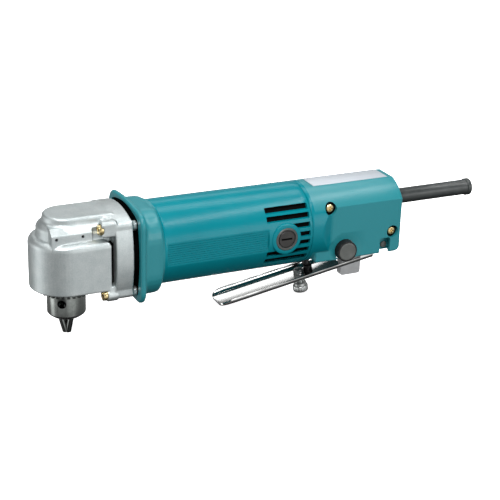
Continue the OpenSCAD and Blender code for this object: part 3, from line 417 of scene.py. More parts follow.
def makeStage():
    studio = {"floor": 6.0, "floorDrop": 0.0005, "floorRough": 0.9, "floorGlow": 0.9, "floorTone": (0.93, 0.95),
              "backdrop": 0.97, "skyPower": 3.0,  # then the level of the surround by heading, and from down to up
              "around": ((0.0, 0.35), (0.03, 0.26), (0.1, 0.2), (0.18, 0.21), (0.215, 0.31), (0.25, 0.42), (0.335, 0.41),
                         (0.37, 0.26), (0.43, 0.15), (0.68, 0.14), (0.8, 0.12), (0.9, 0.17), (0.935, 0.85), (0.965, 1.0),
                         (0.985, 0.7)),
              "sky": ((0.0, 0.08), (0.15, 0.12), (0.26, 0.55), (0.36, 0.95), (0.52, 0.95), (0.6, 0.5), (0.7, 0.25),
                      (1.0, 0.25))}
    boxes = {  # place, target and size in metres, then the power
        "keyBox": ((-0.45, -0.75, 1.2), (0.12, 0, 0.05), (0.8, 0.5), 20),
        "topStrip": ((0.15, 0.35, 1.0), (0.12, 0, 0.08), (1.3, 0.3), 6),
        "barrelStrip": ((0.62, -0.36, 1.12), (0.12, 0, 0.06), (1.0, 0.14), 6.5),  # the streak along the barrel
        "backBox": ((0.45, 1.0, 0.72), (0.2, 0, 0.02), (1.0, 0.2), 1.15),  # seen in the bright lever
        "fillBox": ((0.75, -0.95, 0.35), (0.14, 0, 0.05), (0.7, 0.5), 4),
    }
    floor = added("studioFloor", bpy.ops.mesh.primitive_plane_add, size=studio["floor"],
                  location=(0.15, 0, cadBox[0].z - studio["floorDrop"]))
    pale = Finish("paleFloor", Roughness=studio["floorRough"], Emission_Color=(1.0, 1.0, 1.0),
                  Emission_Strength=studio["floorGlow"])
    pale.set("Base Color", pale.mix(pale.noise(0.004, 2), *((tone, tone, tone) for tone in studio["floorTone"])))
    floor.data.materials.append(pale.material)
    floor.visible_diffuse = floor.visible_glossy = False  # the floor stays white and does not light the underside
    for name, box in boxes.items():
        softBox(name, *box)
    world = bpy.context.scene.world or bpy.data.worlds.new("studioWorld")
    bpy.context.scene.world = world
    world.use_nodes = True
    sky = Nodes(world.node_tree)
    surround, shown = (sky.tree.nodes[n] for n in ("Background", "World Output"))
    x, y, z = sky.split(sky.add("TexCoord", out="Generated"))
    heading = sky.range(x.math("ARCTAN2", y, x), -math.pi, math.pi)
    around = sky.add("ValToRGB", {"stops": studio["around"]}, Fac=heading)
    sky.feed(surround.inputs["Color"], sky.add("ValToRGB", {"stops": studio["sky"]}, Fac=sky.range(z, -1, 1)))
    sky.feed(surround.inputs["Strength"], around * studio["skyPower"])
    plain = sky.add("Background", Color=(1, 1, 1), Strength=studio["backdrop"])  # the backdrop is plain white
    straight = sky.add("LightPath", out="Is Camera Ray")
    both = sky.add("MixShader", i0=straight, i1=Wire(sky, surround.outputs[0]), i2=plain)
    sky.feed(shown.inputs["Surface"], both)
    bpy.context.scene.view_settings.view_transform = "Standard"


makeCamera()
makeStage()
print("camera and stage ready")


# cast angle head
def stadium(r, xEnd, n):  # round front about the spindle, straight sides back to xEnd
    return [(xEnd, r)] + arc(0, 0, r, 90, 270, n) + [(xEnd, -r)]


def roundLevel(obj, z, width, segments):  # bevels the edges that lie in the level z
    pick(obj)
    editMode("DESELECT")
    objectMode()
    for e in obj.data.edges:
        e.select = all(abs(obj.data.vertices[i].co.z - z * mm) < 0.05 * mm for i in e.vertices)
    bpy.ops.object.mode_set(mode="EDIT")
    bpy.ops.mesh.select_mode(type="EDGE")
    bpy.ops.mesh.bevel(offset=width * mm, segments=segments, affect="EDGES")
    objectMode()


def bowOutline(half, side):  # the side of the flange plate, bowed out by rise
    bow = {"from": 20, "rise": 2.6, "reachZ": 22}
    r = (bow["reachZ"] ** 2 + bow["rise"] ** 2) / (2 * bow["rise"])
    a = math.degrees(math.asin(bow["reachZ"] / r))
    return [(q * side, z) for q, z in [(bow["from"], motorZ)] + arc(half + bow["rise"] - r, motorZ, r, -a, a, 16)]


def crownedOutline(half, z0, z1, crown, r, n=10):  # a plate with round corners and an arched top
    big = (half * half + crown * crown) / (2 * crown)
    up = math.sqrt((big - r) ** 2 - (half - r) ** 2)
    a = math.degrees(math.atan2(up, half - r))
    zc = z1 - big + up
    return (arc(half - r, z0 + r, r, -90, 0, n) + arc(half - r, zc, r, 0, a, n)
            + arc(0, z1 - big, big, a, 180 - a, n)
            + arc(-half + r, zc, r, 180 - a, 180, n) + arc(-half + r, z0 + r, r, 180, 270, n))


def makeHead():
    head = {"r": 25.5, "z": (37, 74), "blockEnd": 25, "edgeTop": (4.8, 4), "edgeLow": (0.6, 3), "noseEnd": 30,
            "nose": ((66, 19.8), (80.2, 19.8), (81.1, 19.5), (82.1, 18.8), (83.3, 17.6), (84.4, 16.5), (85.4, 15.8),
                     (86.4, 15.5), (87.4, 15.45), (88.2, 15.35), (88.9, 15.1), (89.4, 14.6), (89.7, 14.0), (89.8, 13.0)),
            "rib": ((-20.4, 66), (0, 66), (0, 84.8), (-15.4, 84.1), (-19.5, 81), (-20.15, 80.6), (-20.4, 80)),
            "ribX": (-15.4, 13.2), "pinX": (-12, 6.4), "pinZ": 78, "pinR": 1.1, "pinDeep": 4,
            "neck": (-18, 18, 39, 80, 1, 1, 2), "neckX": (22, 30),
            "plateX": (27.5, 40), "plate": (26.5, 30, 90.6, 5, 3.0),
            "arch": ((19, 14.6, 89.75, 1.2), (22, 16, 89.9, 1.6), (25, 19.5, 90.2, 2.6), (29, 25.5, 90.5, 4.6)),
            "archLow": 70, "archR": 3, "screwY": 22.4, "screwZ": (33.3, 82),
            "rimR": {-1: 6.0, 1: 3.9}, "rimX": (17.9, 29), "trim": (10, 35, 60, 95), "sideLimit": 26.4,
            "bossR": 4.6, "bossX": (22, 29), "postR": 3.6, "postX": (38, 43.4),
            "bossWeb": (20.5, 8, ((0.6, 74), (1, 76), (1.1, 83.5), (0.9, 86), (0.6, 87))),  # widths times screwY
            "earWeb": (23.5, 6, ((0.6, 44), (1.14, 40), (1.17, 34), (1, 30), (0.6, 32))),
            "recessR": 18.8, "recessTop": 55, "boreR": 25, "boreX": (34, 42),
            "pockets": ((3.9, (10, 22)), (4.3, (13.4, 19.4))), "voxel": 0.45, "smooth": 3, "keep": 0.55}
    low, top = head["z"]
    body = prism("block", stadium(head["r"], head["blockEnd"], 32), "Z", low, top - low)
    roundLevel(body, top, *head["edgeTop"])
    roundLevel(body, low, *head["edgeLow"])
    nose = loft("nose", [[(x, y, z) for x, y in stadium(r, head["noseEnd"], 40)] for z, r in head["nose"]])
    x0, x1 = head["ribX"]
    rib = prism("rib", head["rib"], "X", x0, x1 - x0)
    x0, x1 = head["neckX"]
    neck = prism("neck", roundRect(*head["neck"]), "X", x0, x1 - x0)
    x0, x1 = head["plateX"]
    plate = prism("plate", crownedOutline(*head["plate"]), "X", x0, x1 - x0)
    blend = loft("archBlend", [[(x, y, z) for y, z in crownedOutline(half, head["archLow"], topZ, crown, head["archR"])]
                               for x, half, topZ, crown in head["arch"]])
    parts = [nose, rib, neck, plate, blend]
    lowZ, highZ = head["screwZ"]
    for side in (-1, 1):
        y = side * head["screwY"]
        parts.append(prism("bulge", bowOutline(head["plate"][0], side), "X", x0, x1 - x0))
        rim = roundBar("screwRim", head["rimR"][side], head["rimX"], "X", (0, y, highZ), edge=0.8)
        parts.append(boolean(rim, prism("trim", rect(*head["trim"]), "Y", side * head["sideLimit"], 8 * side)))
        parts.append(roundBar("bossLow", head["bossR"], head["bossX"], "X", (0, y, lowZ)))
        for z in head["screwZ"]:  # posts bridge the air gap
            parts.append(roundBar("post", head["postR"], head["postX"], "X", (0, y, z)))
        for name in ("bossWeb", "earWeb"):
            start, push, web = head[name]
            parts.append(prism(name, [(y * k, z) for k, z in web], "X", start, push))
    for p in parts:
        boolean(body, p, "UNION")
    boolean(body, roundBar("recess", head["recessR"], (low - 3, head["recessTop"]), "Z", (0, 0, 0), 96))
    boolean(body, roundBar("motorBore", head["boreR"], head["boreX"], "X", (0, 0, motorZ), 64))
    for side in (-1, 1):
        for z, (r, ends) in zip(head["screwZ"], head["pockets"]):
            boolean(body, roundBar("screwPocket", r, ends, "X", (0, side * head["screwY"], z)))
    addModifier(body, "REMESH", mode="VOXEL", voxel_size=head["voxel"] * mm, adaptivity=0)
    addModifier(body, "SMOOTH", factor=0.5, iterations=head["smooth"])
    addModifier(body, "DECIMATE", ratio=head["keep"])
    flat = head["rib"][0][0]
    for x in head["pinX"]:  # two small blind holes in the flat side
        boolean(body, roundBar("pinHole", head["pinR"], (flat - 1, flat + head["pinDeep"]), "Y", (x, 0, head["pinZ"]), 24))
    body.name = "gearHead"
    print("head faces:", len(body.data.polygons))
    finishPiece(body, "housing", "cast", "gear_housing", slot="cast_aluminium", angle=50)


makeHead()
print("gear head done")


# teal motor housing and rear housing, drawn as sections about the motor axis, on rays that meet their corners
section = {"rays": 240, "apart": 0.009, "half": 25.5, "roof": 29.1, "band": 8.6,
           "footCorners": ((25.5, 24), (25.5, 21), (22.5, 24))}
corners = [math.acos(section["half"] / barrelR)] + [math.asin(section[k] / barrelR) for k in ("roof", "band")]
corners += [math.atan2(z, y) for y, z in section["footCorners"]]
corners = sorted(q % math.tau for c in corners for q in (c, math.pi - c, -c, math.pi + c))
evenRays = [math.tau * i / section["rays"] for i in range(section["rays"])]
rays = sorted([a for a in evenRays if min(abs(a - c) for c in corners) > section["apart"]] + corners)
quarter = [math.radians(15 * k) for k in range(7)]  # steps round an edge


def reach(outline, turn):  # distance from the motor axis to an outline of (y, z) points along one ray
    dy, dz = math.cos(turn), math.sin(turn)
    best, tiny = 0.0, 1e-9
    for (ay, az), (by, bz) in zip(outline, outline[1:] + outline[:1]):
        az, bz = az - motorZ, bz - motorZ
        ey, ez = by - ay, bz - az
        den = dy * ez - dz * ey
        if abs(den) > tiny:
            t = (ay * ez - az * ey) / den
            s = (ay * dz - az * dy) / den
            if t > 0 and -tiny <= s <= 1 + tiny:
                best = max(best, t)
    return best


def ringAt(x, radii):
    return [(x, r * math.cos(a), motorZ + r * math.sin(a)) for r, a in zip(radii, rays)]


def exhaustPlate(name, outline, ends, hole):  # flat plate behind the head flange with a round hole for the neck
    start, end = ends
    obj = prism(name, crownedOutline(*outline), "X", start, end - start)
    for side in (-1, 1):
        boolean(obj, prism("bow", bowOutline(outline[0], side), "X", start, end - start), "UNION")
    return boolean(obj, roundBar("neckHole", hole, (start - 1, end + 1), "X", (0, 0, motorZ), 96))


def makeMotorShell():
    shell = {"neckR": 21.5, "neckIn": 19.0, "neckX": (40.0, 43.3), "rim": (33.8, 25, 93.2, 3, 10), "rimX": (43.5, 47.3),
             "rimRound": 1.7, "hollow": (0.45, 0.75, 0.92), "collar": (-31.8, 31.8, 26.6, 89.3, 20, 20),
             "collarSteps": ((50, 0.12), (52, 0.0), (55, -0.1), (57.4, -0.2), (58.6, -0.4)), "runX": (59.3, 63.4),
             "runSteps": (0.06, 0.16, 0.3, 0.46, 0.62, 0.78, 0.9, 1.0), "barrelEnd": 177, "wall": 2.5,
             "insideX": (150, 100, 46.5, 46.2), "bandHalf": 8.6, "bandX": (64.1, 142),
             "lines": 10, "linePitch": 1.62, "lineHalf": (0.4, 0.12), "lineRise": 0.3, "lineDeep": 0.35, "lineInset": 0.8,
             "slotX": (141, 175), "slotPitch": 6.4, "slotH": 4.0, "slotShift": -1.3, "slotR": 0.5,
             "slotRows": ((-2.5, 0), (-1.5, 0), (-0.5, 1), (0.5, 1), (1.5, 1), (2.5, 0), (3.35, 0)),  # 1: starts at the boss
             "bossR": 11.6, "boss": ((0, 27.9), (0, 30.3), (-0.3, 30.9), (-0.9, 31.2)), "capHole": (8.65, 24, 34),
             "exhaust": (26.8, 29.7, 90.8, 5, 4.4), "exhaustX": (43.1, 45.6)}
    rim = [reach(crownedOutline(*shell["rim"]), a) for a in rays]
    collar = [reach(roundRect(*shell["collar"]), a) for a in rays]
    flatY = math.sqrt(barrelR ** 2 - shell["bandHalf"] ** 2)
    band = [min(barrelR, flatY / max(abs(math.cos(a)), 1e-6)) for a in rays]
    circles = (barrelR, barrelR - shell["wall"], shell["neckR"], shell["neckIn"])
    barrel, inner, neck, tube = ([r] * len(rays) for r in circles)
    start, neckEnd = shell["neckX"]
    x0, x1 = shell["rimX"]
    r = shell["rimRound"]
    rings = [ringAt(start, tube), ringAt(start, neck), ringAt(neckEnd, neck), ringAt(x0, [q + 0.2 for q in neck])]
    for a in quarter[::-1]:  # rounded front lip
        rings.append(ringAt(x0 + r - r * math.sin(a), [q - r + r * math.cos(a) for q in rim]))
    for a in quarter:  # and its back
        rings.append(ringAt(x1 - r + r * math.sin(a), [q - r + r * math.cos(a) for q in rim]))
    for t in shell["hollow"]:  # hollow corner down to the collar
        rings.append(ringAt(x1 + 0.25 + 1.6 * t * t, lerp([q - r for q in rim], [q + 0.35 for q in collar], t)))
    for x, out in shell["collarSteps"]:
        rings.append(ringAt(x, [q + out for q in collar]))
    a, b = shell["runX"]
    for t in shell["runSteps"]:  # the collar runs down into the barrel
        rings.append(ringAt(a + (b - a) * t, lerp([q - 0.6 for q in collar], barrel, ease(t))))
    b0, b1 = shell["bandX"]
    banded = [(b0, 0), (b0 + 0.3, 1)] + [(x, 1) for x in range(68, 140, 4)] + [(b1 - 0.3, 1), (b1, 0)]
    for x, t in banded + [(x, 0) for x in range(144, 176, 4)]:
        rings.append(ringAt(x, lerp(barrel, band, t)))
    end = shell["barrelEnd"]
    for back, inset in ((0.5, 0), (0.15, 0.15), (0, 0.5)):  # a small round at the rear end
        rings.append(ringAt(end - back, [q - inset for q in barrel]))
    for x, radii in zip((end, *shell["insideX"], start), [inner] * 4 + [tube] * 2):
        rings.append(ringAt(x, radii))
    body = loft("motorShell", rings, ringClosed=True)
    boolean(body, exhaustPlate("exhaust", shell["exhaust"], shell["exhaustX"], shell["neckR"] + 0.02))
    for side in (-1, 1):
        h = shell["slotH"] / 2
        for row, behind in shell["slotRows"]:  # square ended air slots that run up to the brush boss
            z = motorZ + row * shell["slotPitch"] + shell["slotShift"]
            a, b = brushX if behind else shell["slotX"][0], shell["slotX"][1]
            opening = roundRect(a, b, z - h, z + h, shell["slotR"], shell["slotR"], 3)
            boolean(body, prism("slot", opening, "Y", 15 * side, 20 * side))
        profile = [(0, shell["boss"][0][1])] + [(shell["bossR"] + out, y) for out, y in shell["boss"]]
        boss = lathe("boss", profile + [(0, shell["boss"][-1][1])], "Y", steps=64)
        boss.data.transform(placed((brushX, 0, motorZ), 0 if side > 0 else 180, "Z"))
        boolean(body, boss, "UNION")
        hole, near, far = shell["capHole"]
        boolean(body, roundBar("capHole", hole, sorted((near * side, far * side)), "Y", (brushX, 0, motorZ), 64))
        wide, narrow = shell["lineHalf"]
        outer, floor = flatY + shell["lineRise"], flatY - shell["lineDeep"]
        for i in range(shell["lines"]):  # fine lines cut along the flat band
            z = motorZ + (i - (shell["lines"] - 1) / 2) * shell["linePitch"]
            groove = ((outer, z - wide), (outer, z + wide), (floor, z + narrow), (floor, z - narrow))
            inset = shell["lineInset"]
            boolean(body, prism("line", [(y * side, q) for y, q in groove], "X", b0 + inset, b1 - b0 - 2 * inset))
    finishPiece(body, "housing", "teal", "motor_housing", slot="teal_plastic", angle=32)


def makeShades():  # painted shade: near black sheets put where the air ways lie in shadow: a liner behind the barrel slots, a plate and ring round the neck in the gap behind the head flange, a plate in the head's vent
    shade = {"baffle": (27.1, 27.8, 137, 176.6), "brushR": 9.6,
             "exhaust": (26.6, 29.9, 90.6, 5, 4.3), "exhaustX": (45.0, 45.5), "sleeve": (21.6, 23.4, 40.1, 45.2),
             "vent": (-21.5, 21.5, 39.5, 72.5, 1, 1, 3), "ventX": (25.1, 2.3), "shaftR": 18.3}
    onAxis = (0, 0, motorZ)
    baffle = lathe("airBaffle", rect(*shade["baffle"]), "X", onAxis, 120)
    boolean(baffle, roundBar("brushHole", shade["brushR"], (-34, 34), "Y", (brushX, 0, motorZ), 64))
    plate = exhaustPlate("exhaustShade", shade["exhaust"], shade["exhaustX"], shade["sleeve"][0])
    boolean(plate, lathe("neckSleeve", rect(*shade["sleeve"]), "X", onAxis), "UNION")
    vent = prism("ventShade", roundRect(*shade["vent"]), "X", *shade["ventX"])
    boolean(vent, roundBar("shaftHole", shade["shaftR"], (20, 30), "X", onAxis, 64))
    for obj in (baffle, plate, vent):
        finishPiece(obj, "housing", "dark", slot="black_plastic")


def makeRearHousing():
    rear = {"x": (177.1, 254.8), "half": 25.5, "low": 33.8, "top": 88.1, "footStart": 182, "footRun": 1.6, "footR": 1.4,
            "blend": (184, 197), "flatStart": 183.5, "flatRun": 2, "endRound": 1.8, "lowEndR": 6, "wall": 2.6, "gap": 0.08,
            "posts": ((3.8, 2.2), (4.6, 1.2)), "seatR": 4.8, "seatDeep": 3.5,  # a post's radius and how far it stops short
            "lockR": 8.3, "lockDeep": 7.6, "dish": (14, 1.2), "guardZ": 67.8, "guardR": 5.9, "plungerR": 5.0, "pinR": 2.5,
            "lug": (236.2, 251.2, 36.3, 46.3), "lugY": (13.6, 6.8), "notch": (237, 246, 30, 46, 0.5, 2.0, 5),
            "notchY": (20.4, 12), "under": (178, 251, 30, 35), "underHalf": 22.4, "mouthHalf": 13.5,
            "mouth": ((211, 30), (248.7, 30), (248.7, 44.9), (234.5, 44.9), (234.5, 38.4), (211, 38.4))}
    low, wall = rear["low"], rear["wall"]
    footLine = roundRect(-rear["half"], rear["half"], low, motorZ + 0.02, rear["footR"], 0.01)
    foot = [reach(footLine, a) if math.sin(a) < 0 else 0.0 for a in rays]

    def sectionAt(x, inset):
        a, b = rear["blend"]
        t = min(1.0, max(0.0, (x - a) / (b - a)))
        half = rear["half"] + (barrelR - rear["half"]) * (1 + math.cos(math.pi * t)) / 2
        stand = ease((x - rear["footStart"]) / rear["footRun"])
        flat = ease((x - rear["flatStart"]) / rear["flatRun"])
        roof = rear["top"] + (motorZ + barrelR - rear["top"]) * (1 - flat)
        out = []
        for a, f in zip(rays, foot):
            c, q = abs(math.cos(a)), math.sin(a)
            r = barrelR
            if q < 0:
                r = min(r, (motorZ - low) / -q)
                r = max(r, r + (f - r) * stand)
            elif q > 0:
                r = min(r, (roof - motorZ) / q)
            out.append(min(r, half / max(c, 1e-6)) - inset)
        return out

    x0, x1 = rear["x"]
    r = rear["endRound"]
    closing = [q * 0.05 for q in sectionAt(x1, r)]  # a small ring that closes an end
    rings = [ringAt(x1, closing)]
    for a in quarter[::-1]:
        rings.append(ringAt(x1 - r + r * math.sin(a), sectionAt(x1, r - r * math.cos(a))))
    outside = [240, 225, 210, 202, 199] + [x / 2 for x in range(395, 358, -1)]
    rings += [ringAt(x, sectionAt(x, 0)) for x in outside]
    rings += [ringAt(x0 + ahead, sectionAt(x0, inset)) for ahead, inset in ((0.5, 0), (0.15, 0.15), (0, 0.5))]
    inside = (x0, 182, 185, 187, 189, 191, 193, 195, 197, 210, x1 - 6)
    rings += [ringAt(x, sectionAt(x, wall)) for x in inside]
    rings += [ringAt(x1 - wall, sectionAt(x1, wall + 2)), ringAt(x1 - wall, closing)]
    body = loft("rearShell", rings)
    e = rear["lowEndR"]
    corner = [(x1 - e, low - 2)] + arc(x1 - e, low + e, e, -90, 0) + [(x1 + 2, low + e), (x1 + 2, low - 2)]
    for side, node in ((-1, "rear_half_left"), (1, "rear_half_right")):
        half = body.copy()
        half.data = body.data.copy()
        bpy.context.scene.collection.objects.link(half)
        face = side * rear["half"]
        boolean(half, prism("keep", rect(170, 260, 20, 100), "Y", side * rear["gap"] / 2, 50 * side), "INTERSECT")
        for (x, z), (postR, short) in zip(rearScrewsAt, rear["posts"]):  # sunk seats on the near side
            ends = sorted((side * 0.1, face - side * short))
            boolean(half, roundBar("post", postR, ends, "Y", (x, 0, z)), "UNION")
            if side < 0:
                boolean(half, roundBar("seat", rear["seatR"], (-40, face + rear["seatDeep"]), "Y", (x, 0, z)))
        start, push = (side * q for q in rear["lugY"])
        boolean(half, prism("lug", rect(*rear["lug"]), "Y", start, push), "UNION")  # carries the lever pin
        start, push = (side * q for q in rear["notchY"])
        boolean(half, prism("notch", roundRect(*rear["notch"]), "Y", start, push))
        boolean(half, prism("mouth", rear["mouth"], "Y", -rear["mouthHalf"], 2 * rear["mouthHalf"]))
        under = rect(*rear["under"])  # the walls stand a little lower than the floor
        boolean(half, prism("under", under, "Y", -rear["underHalf"], 2 * rear["underHalf"]))
        boolean(half, prism("corner", corner, "Y", -35, 70))
        boolean(half, roundBar("plungerHole", rear["plungerR"], (30, 38.4), "Z", (plungerX, 0, 0)))
        boolean(half, roundBar("pinHole", rear["pinR"], (-24, 24), "Y", (pivotAt[0], 0, pivotAt[1]), 32))
        boolean(half, roundBar("guardHole", rear["guardR"], (245, 258), "X", (0, 0, rear["guardZ"])))
        if side < 0:  # finger dish round the lock button, then its hole
            x, z = lockAt
            hole = rear["lockR"]
            wide, deep = rear["dish"]
            dish = lathe("dish", [(0, -deep), (hole, -deep), (hole + 2, -deep + 0.2), (wide, 0.02), (wide + 4, 2.4),
                                  (wide + 4, 8), (0, 8)], steps=64)
            dish.data.transform(placed((x, face, z), 90))
            boolean(half, dish)
            boolean(half, roundBar("lockHole", hole, (-40, face + rear["lockDeep"]), "Y", (x, 0, z), 64))
        half.name = "rearHousingNear" if side < 0 else "rearHousingFar"
        finishPiece(half, "housing", "teal", node, slot="teal_plastic", angle=28)
    bpy.data.objects.remove(body)


makeMotorShell()
makeShades()
print("motor shell done")
makeRearHousing()
print("rear housing done")


# pieces turned on a lathe: brush caps, lock button and the two housing screws
def makeBrushCaps():
    cap = {"face": 31.6, "foot": 25.6, "r": 8.55, "ringIn": 6.9, "floor": 1.6, "discR": 6.2, "slot": (4.3, 0.75, 1.2),
           "shadeIn": (0.05, 0.02)}
    f, r, ringIn, discR = cap["face"], cap["r"], cap["ringIn"], cap["discR"]
    floor = f - cap["floor"]
    long, half, deep = cap["slot"]
    inX, inY = cap["shadeIn"]
    for side in (-1, 1):
        ring = lathe("capRing", [(0, cap["foot"]), (r, cap["foot"]), (r, f - 0.5), (r - 0.5, f), (ringIn + 0.2, f),
                                 (ringIn, f - 0.3), (ringIn, floor), (0, floor)], steps=80)
        disc = lathe("capDisc", [(0, floor - 0.1), (discR, floor - 0.1), (discR, f - 0.6), (discR - 0.3, f - 0.3),
                                 (0, f - 0.25)], steps=64)
        boolean(disc, prism("driverSlot", rect(-long, long, -half, half), "Z", f - deep, 3))
        inset = rect(-long + inX, long - inX, -half + inY, half - inY)
        shade = prism("slotShade", inset, "Z", f - deep - 0.2, 0.5)
        for obj, finish in ((ring, "capRing"), (disc, "button"), (shade, "dark")):
            obj.data.transform(placed((brushX, 0, motorZ), -90 * side))
            obj.name += "Near" if side < 0 else "Far"
            finishPiece(obj, "housing", finish, "brush_caps", slot="black_plastic")


def makeLockButton():
    lock = {"face": 29.8, "r": 7.9, "capR": 6.8, "capIn": 28.4, "foot": 23.6, "stemR": 3, "stemEnd": 14.5, "seam": 0.1}
    f, r, foot, stem, end = (lock[k] for k in ("face", "r", "foot", "stemR", "stemEnd"))
    c, capIn = lock["capR"], lock["capIn"]
    hole = c + lock["seam"]
    sleeve = lathe("lockSleeve", [(0, end), (stem, end), (stem, foot), (r, foot), (r, f - 0.8), (r - 0.15, f - 0.5),
                                  (hole, f - 0.4), (hole, capIn), (0, capIn)], steps=72)
    cap = lathe("lockCap", [(0, capIn), (c, capIn), (c, f - 0.45), (c - 0.15, f - 0.15), (c - 0.5, f), (c - 1.4, f - 0.1),
                            (0, f - 0.2)], steps=72)
    for obj, finish in ((sleeve, "black"), (cap, "lockCap")):
        obj.data.transform(placed((lockAt[0], 0, lockAt[1]), 90))
        finishPiece(obj, "lock", finish, "lock_button")


def makeRearScrews():
    screw = {"face": -24.1, "headR": 3.1, "headH": 2.0, "shankR": 2, "end": 15, "cross": (1.9, 0.45, 1.1),
             "seatR": 4.75, "seat": -22.1, "seatH": 0.6, "seatGap": 0.05}
    f, h, s, shank, end = (screw[k] for k in ("face", "headR", "seat", "shankR", "end"))
    long, half, deep = screw["cross"]
    under = f + screw["headH"]
    pieces, shades = [], []
    for x, z in rearScrewsAt:
        one = lathe("rearScrew", [(0, f + 0.1), (h * 0.5, f), (h * 0.85, f + 0.25), (h, f + 0.8), (h, under), (shank, under),
                                  (shank, end), (0, end)], "Y", steps=40)
        for a, b in ((long, half), (half, long)):
            boolean(one, prism("cross", rect(-a, a, -b, b), "Y", f - 1, 1 + deep))
        one.data.transform(placed((x, 0, z)))
        pieces.append(one)
        # painted shade: a near black ring at the bottom of each seat, round the screw head
        collar = rect(h + screw["seatGap"], screw["seatR"], s - screw["seatH"], s)
        shades.append(lathe("seatShade", collar, "Y", (x, 0, z), 40))
    groups = ((pieces, "rearScrews", "gold", ("rear_screws",)), (shades, "screwSeats", "dark", ()))
    for group, name, finish, nodes in groups:
        pick(*group)
        bpy.ops.object.join()
        group[0].name = name
        finishPiece(group[0], "housing", finish, *nodes)


makeBrushCaps()
makeLockButton()
makeRearScrews()
print("turned pieces done")


# bright trough lever, drawn about its pivot, with the knurled speed screw, and the plunger
onLever = placed((pivotAt[0], 0, pivotAt[1]), -9.7, "Y")
speedX = -63


def makeLever():
    lever = {"flat": 8, "drop": -9.5, "r": (4.5, 3.0), "rear": -5, "edge": 0.12,
             "tip": ((-132, 0.64, 226), (-131.6, 0.75, 218), (-130.8, 0.84, 208), (-129.4, 0.91, 198),
                     (-127.2, 0.96, 190), (-124.5, 0.985, 184), (-121, 1, 180)),  # place, width, angle of the rim
             "earR": 5.4, "ear": ((-16, -8.7), (-16, -10.1), (-5, -10.1)), "earY": (11, 12.5),
             "slot": (-30, -3, -8.4, 8.4), "pinR": 2.6, "screwR": 2.5}
    c, drop = lever["flat"], lever["drop"]
    big, small = lever["r"]

    def trough(x, wide, start):
        end = 540 - start
        outline = (arc(-c, drop, big, start, 270) + arc(c, drop, big, 270, end)
                   + arc(c, drop, small, end, 270) + arc(-c, drop, small, 270, start))
        return [(x, y * wide, z) for y, z in outline]

    stations = list(lever["tip"]) + [(x, 1, 180) for x in (*range(-115, -10, 5), lever["rear"])]
    body = loft("switchLever", [trough(*q) for q in stations])
    for side in (-1, 1):
        y0, y1 = sorted(side * y for y in lever["earY"])
        ear = arc(0, 0, lever["earR"], -70, 110, 16) + list(lever["ear"])
        boolean(body, prism("ear", ear, "Y", y0, y1 - y0), "UNION")
    boolean(body, prism("slot", rect(*lever["slot"]), "Z", drop + 1, -8))
    boolean(body, roundBar("pivotHole", lever["pinR"], (-15, 15), "Y", (0, 0, 0)))
    boolean(body, roundBar("screwHole", lever["screwR"], (-20, 0), "Z", (speedX, 0, 0)))
    roundEdges(body, lever["edge"], 50)
    body.data.transform(onLever)
    finishPiece(body, "lever", "chrome", "switch_lever", angle=40)


def makeSpeedScrew():
    knob = {"teeth": 22, "steps": 176,  # radius, height and depth of the teeth down the screw
            "profile": ((2.35, -8.7, 0), (2.35, -19.4, 0), (4.4, -19.5, 0), (4.8, -19.9, 0), (4.9, -21.6, 0),
                        (5.5, -22.0, 0.1), (5.75, -22.4, 0.22), (5.75, -26.0, 0.22), (5.5, -26.5, 0.1),
                        (4.6, -26.95, 0), (2.5, -27, 0))}
    turns = [math.tau * i / knob["steps"] for i in range(knob["steps"])]
    rings = []
    for r, z, deep in knob["profile"]:
        radii = [r - deep * (1 + math.cos(knob["teeth"] * t)) / 2 for t in turns]
        rings.append([(speedX + q * math.cos(t), q * math.sin(t), z) for q, t in zip(radii, turns)])
    body = loft("speedScrew", rings)
    body.data.transform(onLever)
    finishPiece(body, "speed_knob", "paleZinc", "speed_screw", angle=40)


def makePlunger():
    plunger = {"profile": ((0, 22.9), (2.7, 22.9), (3.1, 23.5), (2.9, 24.6), (2.3, 26.2), (2.3, 27.4), (3.0, 29), (4.1, 31),
                           (4.55, 32.8), (4.5, 34.4), (4.0, 35.5), (3.2, 36), (2.0, 36), (2.0, 53), (0, 53))}
    body = lathe("switchPlunger", plunger["profile"], "Z", (plungerX, 0, 0), 64)
    finishPiece(body, "plunger", "black", "switch_plunger", angle=50)


makeLever()
makeSpeedScrew()
makePlunger()
print("lever done")


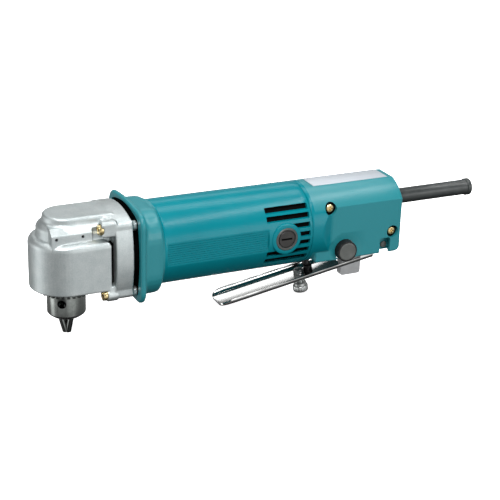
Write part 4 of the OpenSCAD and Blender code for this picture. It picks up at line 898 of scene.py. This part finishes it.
# small solids keep the CAD shape with rounded edges
def widenChuck(obj):  # the chuck shows a little wider than its solid, with a longer shoulder
    skin = {"wide": 0.055, "from": 9.6, "fade": 2, "rings": (16.6, 15.6, 14.6, 13.6),
            "shoulder": (16.6, 3.4, 0.14), "shoulderFrom": 7}
    pick(obj)
    editMode()
    for z in skin["rings"]:
        bpy.ops.mesh.select_all(action="SELECT")
        bpy.ops.mesh.bisect(plane_co=(0, 0, z * mm), plane_no=(0, 0, 1))
    objectMode()
    top, tall, narrow = skin["shoulder"]
    for v in obj.data.vertices:  # only the outer skin moves, the jaw holes stay
        r, z = v.co.xy.length / mm, v.co.z / mm
        grow = 1 + skin["wide"] * ease((r - skin["from"]) / skin["fade"])
        grow -= narrow * ease((top - z) / tall) * ease((r - skin["shoulderFrom"]) / skin["fade"])
        v.co.x, v.co.y = v.co.x * grow, v.co.y * grow


def dressSmall():
    rounded = {  # CAD node: piece name, edge radius, finish, body
        "head_screws": ("headScrews", 0.45, "gold", "housing"),
        "rating_plate": ("ratingPlate", 0.12, "plate", "housing"),
        "lever_pin": ("leverPin", 0.3, "lockCap", "housing"),
        "chuck_body": ("chuckBody", 0.25, "chuck", "spindle_chuck"),
        "chuck_sleeve": ("chuckSleeve", 0.2, "chuck", "sleeve"),
        "jaw_1": ("jawA", 0.12, "chuck", "jaw_a"),
        "jaw_2": ("jawB", 0.12, "chuck", "jaw_b"),
        "jaw_3": ("jawC", 0.12, "chuck", "jaw_c"),
        "lever_pad": ("leverPad", 0.3, "black", "lever"),
        "speed_nut": ("speedNut", 0.2, "steel", "lever"),
        "reversing_lever": ("reversingLever", 0.5, "grey", "reverser"),
        "cord_guard": ("cordGuard", 0.5, "rubber", "housing"),
    }
    for node, (name, width, finish, body) in rounded.items():
        obj = softenedCopy(node, name, width)
        if node in ("chuck_body", "chuck_sleeve"):
            widenChuck(obj)
        finishPiece(obj, body, finish, node)


def dressInside():  # what the housings cover keeps its CAD solid and takes its slot's finish
    slots = {p["node"]: p["material_slot"] for p in frame["record"]["subparts"]}
    for node, obj in frame["nodes"].items():
        if obj.hide_render:
            continue
        obj.data.materials.clear()
        obj.data.materials.append(finishes["black" if node == "rib_pins" else slotFinish[slots[node]]])


dressSmall()
dressInside()
print("small pieces done")
